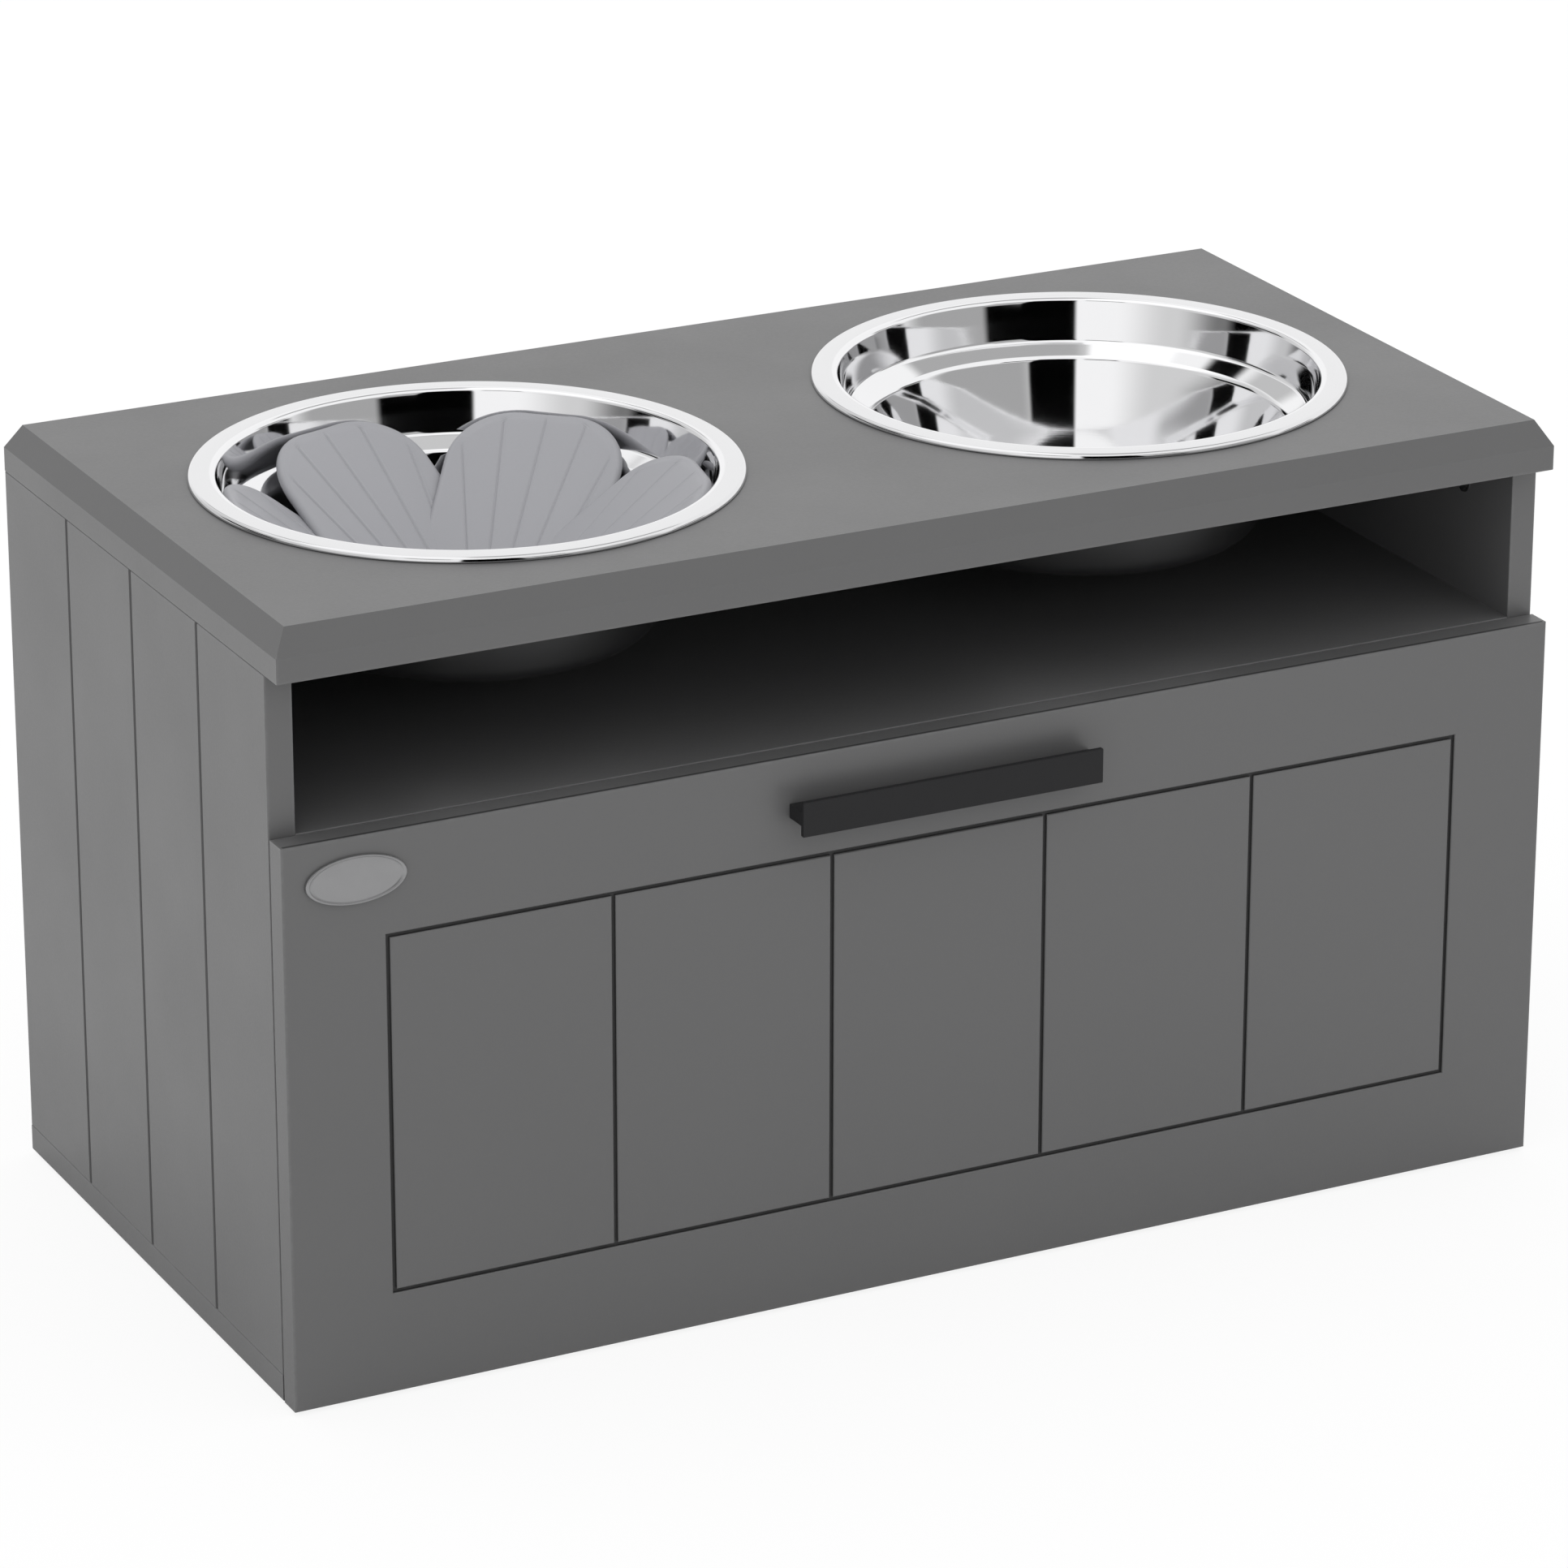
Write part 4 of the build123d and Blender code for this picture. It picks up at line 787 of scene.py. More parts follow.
class SeatTree(PieceTree):
    """Copies of an object on the vertices of a mesh, each turned to its own facing."""

    def __init__(self) -> None:
        """Build the tree: instances that look along an attribute, with a random twist."""
        super().__init__("copies_on_seats")
        for name, kind in (("Copy", "NodeSocketObject"), ("Twist", "NodeSocketFloat"),
                           ("Seed", "NodeSocketInt"), ("Material", "NodeSocketMaterial")):
            self.add_input(name, kind)
        self.open()
        copy = self.node("GeometryNodeObjectInfo", None, {"Object": self.given("Copy")}, "Geometry")
        facing = self.node("GeometryNodeInputNamedAttribute", {"data_type": "FLOAT_VECTOR"},
                           {"Name": "facing"})
        looking = self.node("FunctionNodeAlignRotationToVector", {"axis": "Z"}, {"Vector": facing})
        most = self.given("Twist")
        least = self.node("ShaderNodeMath", {"operation": "MULTIPLY"}, {0: most, 1: -1.0})
        twist = self.node("FunctionNodeRandomValue", {"data_type": "FLOAT"},
                          {"Min": least, "Max": most, "Seed": self.given("Seed")}, 1)
        angles = self.node("ShaderNodeCombineXYZ", None, {2: twist})
        turned = self.node("FunctionNodeRotateRotation", {"rotation_space": "LOCAL"},
                           {"Rotation": looking, "Rotate By": angles})
        points = self.node("GeometryNodeMeshToPoints", None, {"Mesh": self.given("Geometry")})
        copies = self.node("GeometryNodeInstanceOnPoints", None,
                           {"Points": points, "Instance": copy, "Rotation": turned})
        self.close(copies)


# ---------------------------------------------------------------- placing pieces
def report(piece: bpy.types.Object, body: str) -> None:
    """Log a finished piece and the body that it moves with."""
    log.info("%s rides on %s, %d faces", piece.name, body, len(piece.data.polygons))


def settle(piece: bpy.types.Object, body: str, slot: str, *nodes: str) -> bpy.types.Object:
    """Put a finished piece on its body, in place of its solids.

    Args:
        piece: The piece, at the origin, unturned and unscaled.
        body: Body that it moves with.
        slot: Material slot of the record; not used.
        nodes: Solids that it stands for.

    Returns:
        The piece.
    """
    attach(piece, body)
    if nodes:
        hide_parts(*nodes)
    report(piece, body)
    return piece


def dress(node: str, material: bpy.types.Material) -> None:
    """Give a solid of the frame its finish."""
    solid = frame["nodes"][node]
    solid.data.materials.clear()
    solid.data.materials.append(material)
    report(solid, solid["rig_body"])


GREY = (0.103, 0.103, 0.104)
GREY_PANEL = (0.098, 0.099, 0.101)
STEEL = (0.86, 0.86, 0.87)
ZINC = (0.62, 0.63, 0.64)
PETAL_GREY = (0.300, 0.301, 0.320)
CUP_GREY = (0.2, 0.205, 0.22)
BLACK = (0.018, 0.018, 0.019)
NYLON = (0.74, 0.74, 0.7)
BEECH = (0.55, 0.39, 0.22)
PAD = (0.03, 0.03, 0.032)
BADGE = (0.27, 0.27, 0.274)


def paint(node: str, roughness: float = 0.4, **groove: float) -> bpy.types.Material:
    """Paint for one board.

    Args:
        node: The board's solid, whose box tells the paint where its edges are.
        roughness: Roughness of the paint.
        groove: The groove fields of the paint, for a board that has grooves.

    Returns:
        The material.
    """
    low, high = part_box(node)
    return BoardPaint(f"paint_{node}", GREY, roughness, low=tuple(low), high=tuple(high), **groove).build()


@dataclass
class Carcass:
    """The painted boards of the cabinet, its thin back and its dowels."""

    boards: Sequence[str] = ("top_board", "side_panel_left", "side_panel_right", "bottom_board",
                             "shelf_board")
    groove_depth: float = 2.0 * MM

    def grooves(self, board: str) -> dict[str, float]:
        """Where the grooves of a side panel are sunk: from its outer face, across the cabinet."""
        if not board.startswith("side_panel"):
            return {}
        low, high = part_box(board)
        outer = low.x if board.endswith("left") else high.x
        # the paint darkens these grooves with painted shade
        return {"groove_axis": 0, "groove_level": outer, "groove_depth": self.groove_depth}

    def dress(self) -> None:
        """Paint the boards and finish what holds them."""
        for board in self.boards:
            dress(board, paint(board, **self.grooves(board)))
        dress("back_panel", Hardboard("back_hardboard", GREY_PANEL, roughness=0.6).build())
        dress("top_dowels", Beech("beech_upright", BEECH, roughness=0.6, along=(1.0, 1.0, 0.1)).build())
        dress("shelf_dowels", Beech("beech_across", BEECH, roughness=0.6, along=(0.1, 1.0, 1.0)).build())


@dataclass
class Drawer:
    """The drawer's painted boards, thin bottom and dowels."""

    boards: Sequence[str] = ("drawer_side_left", "drawer_side_right", "drawer_back")
    routed_depth: float = 1.6 * MM
    box_roughness: float = 0.42

    def dress(self) -> None:
        """Paint the front with its routed lines, then the box behind it."""
        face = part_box("drawer_front")[0].y
        # the paint darkens the routed lines with painted shade
        dress("drawer_front", paint("drawer_front", groove_axis=1, groove_level=face,
                                    groove_depth=self.routed_depth))
        for board in self.boards:
            dress(board, paint(board, self.box_roughness))
        dress("drawer_bottom", Hardboard("drawer_hardboard", GREY_PANEL, roughness=0.6).build())
        dress("drawer_dowels", Beech("beech_forward", BEECH, roughness=0.6, along=(1.0, 0.1, 1.0)).build())


@dataclass
class SteelBowl:
    """Spun steel bowl with a ledge under its neck and a rolled rim that lies on the board."""

    side: str
    sheet: float = 0.8 * MM
    depth: float = 67.9 * MM
    rim_width: float = 11.1 * MM
    neck_flare: float = 3.8 * MM
    ledge_width: float = 10.1 * MM
    wall_flare: float = 14.2 * MM
    ledge_low: float = 22.0 * MM
    ledge_high: float = 17.0 * MM
    rim_height: float = 2.5 * MM
    radii: Sequence[float] = (10.7 * MM, 3.6 * MM, 3.6 * MM, 1.6 * MM, 1.2 * MM)
    turns: int = 288

    @property
    def node(self) -> str:
        """Name of the bowl's solid and body."""
        return f"bowl_{self.side}"

    def section(self, rim: float) -> list[Point2]:
        """Closed section of the sheet as radius and height over the board.

        Args:
            rim: Outer radius of the rim.

        Returns:
            Points round the section.
        """
        neck = rim - self.rim_width
        ledge_outer = neck - self.neck_flare
        ledge_inner = ledge_outer - self.ledge_width
        under_rim = self.rim_height - self.sheet
        corners = [(0.0, -self.depth), (ledge_inner - self.wall_flare, -self.depth),
                   (ledge_inner, -self.ledge_low), (ledge_outer, -self.ledge_high),
                   (neck, under_rim), (rim - self.sheet, under_rim), (rim - self.sheet, 0.0)]
        under = self.spread(rounded_path(corners, self.radii, 10))
        upper = offset_path(under, self.sheet)
        upper[0] = (0.0, upper[0][1])
        upper[-1] = (upper[-1][0], 0.0)
        return under + list(reversed(upper))

    @staticmethod
    def spread(path: Sequence[Point2], longest: float = 8.0 * MM) -> list[Point2]:
        """Line with long runs divided, so that reflections stay smooth."""
        spread = [path[0]]
        for start, end in zip(path, path[1:]):
            pieces = max(1, round(hypot(end[0] - start[0], end[1] - start[1]) / longest))
            for piece in range(1, pieces + 1):
                share = piece / pieces
                spread.append((start[0] + (end[0] - start[0]) * share,
                               start[1] + (end[1] - start[1]) * share))
        return spread

    def build(self) -> None:
        """Turn the section round the bowl's axis and polish it."""
        low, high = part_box(self.node)
        axis = ((low.x + high.x) / 2, (low.y + high.y) / 2)
        board = high.z - self.rim_height
        section = self.section((high.x - low.x) / 2)
        mesh = turned_mesh(f"steel_bowl_{self.side}", section, self.turns, (*axis, board))
        mesh.materials.append(PolishedSteel(f"polished_steel_{self.side}", STEEL, roughness=0.03,
                                            metallic=1.0, axis=axis).build())
        settle(new_object(f"steel_bowl_{self.side}", mesh), self.node, "stainless", self.node)


def bell(offset: float) -> float:
    """Bell curve: 1 in its middle, falling to 0.37 at an offset of 1."""
    return 2.718 ** (-offset ** 2)


@dataclass
class SlowFeeder:
    """Ring of leaning petals on a round base, with creases that fan out over each petal."""

    petals: int = 6
    start: float = -21.7
    twist: float = 10.3
    lean: float = 51.8
    foot: float = 33.6 * MM
    half: float = 39.8 * MM
    length: float = 87.32 * MM
    corner: float = 30.0 * MM
    bend: float = 182.0 * MM
    thickness: float = 4.6 * MM
    base_radius: float = 52.0 * MM
    base: float = 3.2 * MM
    bore: float = 3.6 * MM
    creases: int = 5
    crease_spread: float = 7.5
    crease_origin: float = 62.0 * MM
    crease_depth: float = 0.32 * MM
    crease_width: float = 0.36 * MM
    lip_height: float = 0.25 * MM
    lip_offset: float = 0.95 * MM
    pillow: float = 0.4 * MM
    fade_from: float = 2.4 * MM
    fade_over: float = 2.4 * MM
    straight_rows: int = 14
    tip_rows: int = 26
    full_half: float = 25.0 * MM
    outer_room: float = 15.5 * MM
    crease_room: float = 5.0 * MM
    fill: int = 5

    def half_width(self, y: float) -> float:
        """Half the petal's width at a height above its foot."""
        over = min(self.corner, max(0.0, y - self.length + self.corner))
        return self.half - self.corner + (self.corner ** 2 - over ** 2) ** 0.5

    def edge_distance(self, x: float, y: float) -> float:
        """How far a point lies inside the petal's outline, its straight foot left out."""
        across = abs(x) - self.half + self.corner
        over = y - self.length + self.corner
        if across > 0.0 and over > 0.0:
            return max(0.0, self.corner - hypot(across, over))
        return max(0.0, min(self.half - abs(x), self.length - y))

    def crease_height(self, x: float, y: float) -> float:
        """Height of the fanned creases and of the soft panels between them."""
        fade = min(1.0, max(0.0, (self.edge_distance(x, y) - self.fade_from) / self.fade_over))
        angle = degrees(atan2(x, y + self.crease_origin))
        reach = hypot(x, y + self.crease_origin)
        place = angle / self.crease_spread + (self.creases - 1) / 2
        nearest = min(self.creases - 1, max(0, round(place)))
        across = radians((place - nearest) * self.crease_spread) * reach
        valley = -self.crease_depth * bell(across / self.crease_width)
        lip = self.lip_height * bell((across - self.lip_offset) / (1.4 * self.crease_width))
        between = place - int(place) if 0 < place < self.creases - 1 else 0.0
        panel = self.pillow * 4.0 * between * (1.0 - between)
        return (valley + lip + panel) * fade

    def surface(self, x: float, y: float, front: bool) -> float:
        """Height of one face over the petal's middle surface."""
        radius = self.thickness / 2
        inside = min(self.edge_distance(x, y), radius)
        level = (radius * radius - (radius - inside) ** 2) ** 0.5
        return level + self.crease_height(x, y) if front else -level

    def rows(self) -> list[float]:
        """Heights of the petal's rows, closer together near the rounded tip."""
        low = self.length - self.corner
        straight = [index / self.straight_rows * low for index in range(self.straight_rows)]
        return straight + [low + self.corner * sin(pi / 2 * index / self.tip_rows)
                           for index in range(self.tip_rows + 1)]

    def columns(self, y: float) -> list[float]:
        """Places across one row: close together along each crease and at both edges."""
        half = self.half_width(y)
        scale = min(1.0, half / self.full_half)
        beside = -1.9, -1.2, -0.8, -0.5, -0.25, 0.0, 0.25, 0.5, 0.75, 1.0, 1.35, 1.8, 2.4
        places = []
        middle = (self.creases - 1) / 2
        for index in range(self.creases):
            step = index - middle
            line = (y + self.crease_origin) * tan(radians(abs(step) * self.crease_spread))
            limit = half - (self.outer_room - self.crease_room * abs(step)) * scale
            centre = min(line, limit) * (1 if step > 0 else -1) if step else 0.0
            group = [centre + offset * MM * scale for offset in beside]
            if places:
                gap = (group[0] - places[-1]) / self.fill
                places += [places[-1] + gap * part for part in range(1, self.fill)]
            places += group
        edge = [offset * MM * scale for offset in (0.0, 0.03, 0.12, 0.3, 0.6, 1.0, 1.5, 2.1)]
        left, right = places[0] - (edge[-1] - half), (half - edge[-1]) - places[-1]
        before = [edge[-1] - half + left * part / self.fill for part in range(1, self.fill)]
        after = [places[-1] + right * part / self.fill for part in range(1, self.fill)]
        return ([offset - half for offset in edge] + before + places + after
                + [half - offset for offset in reversed(edge)])

    def petal_mesh(self) -> bpy.types.Mesh:
        """One petal in its place on the axis, before it is turned to its direction."""
        turn, lean = radians(self.twist), radians(self.lean)
        inward = Vector((-cos(turn) * cos(lean), -sin(turn) * cos(lean), sin(lean)))
        across = Vector((sin(turn), -cos(turn), 0.0))
        up = inward.cross(across)
        origin = Vector((self.foot, 0.0, self.base / 2))
        grid = [(y, self.columns(y)) for y in self.rows()]
        points, faces = [], []
        for front in (True, False):
            for y, places in grid:
                for x in places:
                    drop = (self.bend ** 2 - x ** 2) ** 0.5
                    share = self.surface(x, y, front) / self.bend
                    points.append(origin + across * (x - share * x) + up * y
                                  + inward * (self.bend - drop + share * drop))
        width = len(grid[0][1])
        count = width * len(grid)
        for layer, flip in ((0, False), (count, True)):
            for row in range(len(grid) - 1):
                for column in range(width - 1):
                    first = layer + row * width + column
                    loop = (first, first + 1, first + width + 1, first + width)
                    faces.append(tuple(reversed(loop)) if flip else loop)
        for column in range(width - 1):
            faces.append((column, count + column, count + column + 1, column + 1))
        return mesh_from("petal", points, faces)

    def base_mesh(self, centre: Sequence[float]) -> bpy.types.Mesh:
        """Round base with eased edges, bored for the cup's neck."""
        corners = [(self.bore, self.base / 2), (self.bore, 0.0), (self.base_radius, 0.0),
                   (self.base_radius, self.base), (self.bore, self.base), (self.bore, self.base / 2)]
        ease = 0.9 * MM
        section = rounded_path(corners, (ease / 2, ease, ease, ease / 2), 5)[:-1]
        return turned_mesh("feeder_base", section, 120, centre)

    def build(self, ring: RingTree) -> None:
        """Turn the petals into a ring, add the base and set the insert in the left bowl."""
        bowl_low, bowl_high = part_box("bowl_left")
        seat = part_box("feeder_insert")[0].z
        centre = Vector(((bowl_low.x + bowl_high.x) / 2, (bowl_low.y + bowl_high.y) / 2, seat))
        plastic = MouldedPlastic("feeder_plastic", PETAL_GREY, roughness=0.42).build()
        insert = new_object("feeder_petals", self.petal_mesh())
        ring.apply(insert, {"Count": self.petals, "Start": radians(self.start), "Centre": centre,
                            "Material": plastic})
        base = new_object("feeder_base", self.base_mesh(centre))
        base.data.materials.append(plastic)
        work = bmesh.new()
        work.from_mesh(insert.data)
        work.from_mesh(base.data)
        work.to_mesh(insert.data)
        work.free()
        bpy.data.objects.remove(base)
        settle(insert, "feeder_insert", "insert_plastic", "feeder_insert")
        dress("suction_cup", SoftRubber("cup_rubber", CUP_GREY, roughness=0.45).build())


@dataclass
class HandleBar:
    """T-section bar with eased edges: a flat plate in front of a narrower web."""

    plate: float = 2.5 * MM
    web: float = 6.5 * MM
    ease: float = 0.45 * MM

    def build(self) -> None:
        """Draw the section along the bar and coat it black."""
        low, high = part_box("handle_bar")
        middle = (low.z + high.z) / 2
        under, over = middle - self.web / 2, middle + self.web / 2
        back = low.y + self.plate
        section = [(low.y, low.z), (back, low.z), (back, under), (high.y, under),
                   (high.y, over), (back, over), (back, high.z), (low.y, high.z)]
        bar = new_object("handle_t_bar", bar_mesh("handle_t_bar", section, (low.x, high.x), self.ease))
        harden(bar)
        coat = PowderCoat("black_powder_coat", BLACK, roughness=0.5, specular=0.15)
        bar.data.materials.append(coat.build())
        settle(bar, "drawer", "black_paint", "handle_bar")


@dataclass
class Badge:
    """Small oval plate without any mark: a domed field inside a raised rim."""

    rim: float = 1.5 * MM
    slope: float = 0.4 * MM
    field_drop: float = 0.5 * MM
    dome: float = 0.45 * MM
    rounds: Sequence[float] = (0.25 * MM, 0.7 * MM, 0.6 * MM)
    rings: int = 14

    def section(self, half: float, height: float) -> list[Point2]:
        """Closed section from the axis under the plate, round its rim, to the crown of the field."""
        inner = half - self.rim
        field = inner - self.slope
        level = height - self.field_drop
        corners = [(0.0, 0.0), (half, 0.0), (half, height), (inner, height), (field, level)]
        crown = []
        for step in range(1, self.rings + 1):
            share = 1.0 - step / self.rings
            crown.append((field * share, level + self.dome * (1.0 - share * share)))
        return rounded_path(corners, self.rounds, 6) + crown

    def build(self) -> None:
        """Turn the section to an oval, stand it on the drawer front and finish it."""
        low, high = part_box("badge_plate")
        half = (high.x - low.x) / 2
        squeeze = (high.z - low.z) / (high.x - low.x)
        mesh = turned_mesh("badge_oval", self.section(half, high.y - low.y), 160, squeeze=squeeze)
        centre = Vector(((low.x + high.x) / 2, high.y, (low.z + high.z) / 2))
        mesh.transform(Matrix.Translation(centre) @ Matrix.Rotation(pi / 2, 4, "X"))
        mesh.materials.append(SatinMetal("badge_satin", BADGE, roughness=0.34, metallic=0.75).build())
        settle(new_object("badge_oval", mesh), "drawer", "badge_plastic", "badge_plate")


@dataclass
class RollerSlides:
    """Zinc rails under the drawer and on the sides, with nylon rollers on riveted pins."""

    rim: float = 1.8 * MM
    hub: float = 3.6 * MM
    dish: float = 1.0 * MM
    bore: float = 2.05 * MM
    ease: float = 0.5 * MM

    def section(self, radius: float, width: float) -> list[Point2]:
        """Closed section of a roller with dished faces and eased edges, about its middle."""
        half = width / 2
        floor = half - self.dish
        inner = radius - self.rim
        corners = [(self.bore, 0.0), (self.bore, -half), (self.hub, -half), (self.hub, -floor),
                   (inner, -floor), (inner, -half), (radius, -half), (radius, half), (inner, half),
                   (inner, floor), (self.hub, floor), (self.hub, half), (self.bore, half),
                   (self.bore, 0.0)]
        small = [self.ease / 2] * 5
        return rounded_path(corners, small + [self.ease] * 2 + small, 4)[:-1]

    def roller(self, node: str, nylon: bpy.types.Material) -> None:
        """Turn one roller and lay its axis across the cabinet."""
        low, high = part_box(node)
        mesh = turned_mesh(f"{node}_wheel", self.section((high.z - low.z) / 2, high.x - low.x), 96)
        mesh.transform(Matrix.Translation((low + high) / 2) @ Matrix.Rotation(pi / 2, 4, "Y"))
        mesh.materials.append(nylon)
        settle(new_object(f"{node}_wheel", mesh), node, "nylon", node)

    def dress(self) -> None:
        """Plate the rails and turn the rollers."""
        rail = ZincPlate("zinc_rail", ZINC, roughness=0.3, metallic=1.0, along=(1.0, 0.05, 1.0)).build()
        for node in ("cabinet_rail_left", "cabinet_rail_right", "drawer_rail_left", "drawer_rail_right"):
            dress(node, rail)
        nylon = MouldedPlastic("roller_nylon", NYLON, roughness=0.38).build()
        for end in ("front", "rear"):
            for side in SIDES:
                self.roller(f"{end}_roller_{side}", nylon)


class Drive(Enum):
    """What a fitting's face has for its driver."""

    CROSS = "cross"
    PLAIN = "plain"


@dataclass
class Fitting:
    """A kind of fastener: the section of its body and the recess in its face, outward along +Z."""

    name: str
    body: Sequence[Point2]
    drive: Drive = Drive.CROSS
    arm: float = 2.2 * MM
    slot: float = 0.5 * MM
    sink: float = 1.1 * MM
    sink_taper: float = 0.45
    sink_slope: float = 0.22 * MM
    crown: float = 0.0
    rings: int = 16
    turns: int = 64

    def face_height(self, x: float, y: float, radius: float) -> float:
        """Height of the face at a point: a crowned disc with a cross sunk into it."""
        reach = hypot(x, y)
        height = self.crown * (1.0 - (reach / radius) ** 2)
        if self.drive is Drive.PLAIN:
            return height
        near, far = min(abs(x), abs(y)), max(abs(x), abs(y))
        wall = max(near - self.slot, far - self.arm, 0.0)
        deep = self.sink * (1.0 - self.sink_taper * min(1.0, far / self.arm))
        return height - deep * max(0.0, 1.0 - wall / self.sink_slope)

    def mesh(self) -> bpy.types.Mesh:
        """The fitting's mesh: the face in rings, then the body's section down to its tip."""
        outer, top = self.body[0]
        circle = [(cos(2 * pi * turn / self.turns), sin(2 * pi * turn / self.turns))
                  for turn in range(self.turns)]
        points, faces = [(0.0, 0.0, top + self.face_height(0.0, 0.0, outer))], []
        for ring in range(1, self.rings + 1):
            for x, y in [(outer * ring / self.rings * x, outer * ring / self.rings * y) for x, y in circle]:
                points.append((x, y, top + self.face_height(x, y, outer)))
        for radius, height in self.body[1:]:
            points += [(radius * x, radius * y, height) for x, y in circle]
        for turn in range(self.turns):
            faces.append((0, 1 + turn, 1 + (turn + 1) % self.turns))
        for ring in range(self.rings + len(self.body) - 2):
            here = 1 + ring * self.turns
            for turn in range(self.turns):
                following = (turn + 1) % self.turns
                faces.append((here + turn, here + self.turns + turn, here + self.turns + following,
                              here + following))
        return mesh_from(self.name, points, faces)


@dataclass
class Fasteners:
    """Screws, cams, pins and pads, copied to their seats by a geometry tree.

    Their places and sections are in millimetres. X is the right side's, and the left mirrors it.
    """

    edge_x: float = 294.0
    inner_x: float = 288.0
    under_z: float = 2.0
    frame_screw_y: Sequence[float] = (-92.5, 13.0, 118.5)
    cam_y: Sequence[float] = (-90.5, 105.5)
    top_cam_z: float = 305.0
    shelf_cam_x: float = 270.0
    shelf_under_z: float = 241.0
    box_x: float = 275.5
    front_cam_y: float = -113.5
    front_cam_z: Sequence[float] = (86.0, 160.0)
    back_screw_y: float = 117.5
    back_screw_z: Sequence[float] = (64.0, 156.0)
    handle_screw_x: float = 48.0
    handle_screw_y: float = -131.5
    handle_screw_z: float = 229.6
    web_x: float = 286.8
    rail_screw_y: Sequence[float] = (-97.5, -4.5, 88.5)
    rail_screw_z: float = 42.7
    runner_screw_x: float = 269.5
    runner_screw_y: Sequence[float] = (-101.5, -6.5, 88.5)
    runner_screw_z: float = 28.8
    pad_x: Sequence[float] = (-270.0, 0.0, 270.0)
    pad_y: Sequence[float] = (-100.5, 126.5)
    front_pin: Point3 = (278.1, -120.5, 40.7)
    rear_pin: Point3 = (284.35, 109.5, 42.0)
    twist: float = 0.6

    def rail_section(self, shank: float) -> list[Point2]:
        """Section of a rail screw whose thread is that long."""
        return [(3.2, 0.55), (3.1, 0.12), (3.2, 0.0), (1.75, 0.0), (1.75, -shank), (0.4, -shank - 1.8),
                (0.02, -shank - 1.8)]

    def kinds(self) -> dict[str, Fitting]:
        """The fittings by name."""
        rail_head = {"arm": 1.9 * MM, "sink": 0.9 * MM, "crown": 0.5 * MM}
        sections = {
            "wood": [(4.8, 0.0), (2.5, -2.3), (2.5, -31.0), (0.6, -35.0), (0.02, -35.0)],
            "flat": self.rail_section(8.4),
            "short": self.rail_section(9.4),
            "pan": [(4.0, 1.0), (4.0, 0.3), (3.8, 0.0), (2.0, 0.0), (2.0, -20.0), (0.02, -20.0)],
            "cam": [(5.6, 0.0), (5.9, -0.1), (6.0, -0.4), (6.0, -8.7), (5.7, -9.0), (0.02, -9.0)],
            "rivet": [(3.2, 0.3), (3.2, 0.05), (3.1, 0.0), (2.0, 0.0), (2.0, -8.8), (0.02, -8.8)],
            "pad": [(10.2, 0.0), (10.7, -0.2), (11.0, -0.8), (11.0, -1.9), (10.9, -2.0), (0.02, -2.0)],
        }
        extras = {
            "wood": {"arm": 2.6 * MM, "slot": 0.55 * MM, "sink": 1.6 * MM},
            "flat": rail_head,
            "short": rail_head,
            "pan": {"arm": 2.2 * MM, "sink": 1.4 * MM, "crown": 1.15 * MM},
            "cam": {"arm": 4.5 * MM, "slot": 0.6 * MM, "sink": 1.2 * MM},
            "rivet": {"drive": Drive.PLAIN, "crown": 0.45 * MM},
            "pad": {"drive": Drive.PLAIN, "turns": 72, "rings": 4},
        }
        return {name: Fitting(f"{name}_copy", [(r * MM, h * MM) for r, h in section], **extras[name])
                for name, section in sections.items()}

    @staticmethod
    def on_sides(values: Sequence[float]) -> list[tuple[float, float]]:
        """Each value on the left side and then on the right: the side's sign and the value."""
        return [(side, value) for side in SIDES.values() for value in values]

    def cabinet_seats(self) -> list[Seats]:
        """Seats on the cabinet: screws under its bottom, and cam nuts."""
        down = (0.0, 0.0, -1.0)
        return [
            ("bottom_screws", "wood", "cabinet", "zinc",
             [((side * self.edge_x, y, self.under_z), down)
              for side, y in self.on_sides(self.frame_screw_y)]),
            ("top_cam_nuts", "cam", "cabinet", "zinc",
             [((side * self.inner_x, y, self.top_cam_z), (-side, 0.0, 0.0))
              for side, y in self.on_sides(self.cam_y)]),
            ("shelf_cam_nuts", "cam", "cabinet", "zinc",
             [((side * self.shelf_cam_x, y, self.shelf_under_z), down)
              for side, y in self.on_sides(self.cam_y)]),
        ]

    def drawer_seats(self) -> list[Seats]:
        """Seats on the drawer's box: cam nuts, back screws and handle screws."""
        return [
            ("drawer_cam_nuts", "cam", "drawer", "zinc",
             [((side * self.box_x, self.front_cam_y, z), (side, 0.0, 0.0))
              for side, z in self.on_sides(self.front_cam_z)]),
            ("drawer_back_screws", "wood", "drawer", "zinc",
             [((side * self.box_x, self.back_screw_y, z), (side, 0.0, 0.0))
              for side, z in self.on_sides(self.back_screw_z)]),
            ("handle_screws", "pan", "drawer", "zinc",
             [((side * self.handle_screw_x, self.handle_screw_y, self.handle_screw_z), (0.0, 1.0, 0.0))
              for side in SIDES.values()]),
        ]

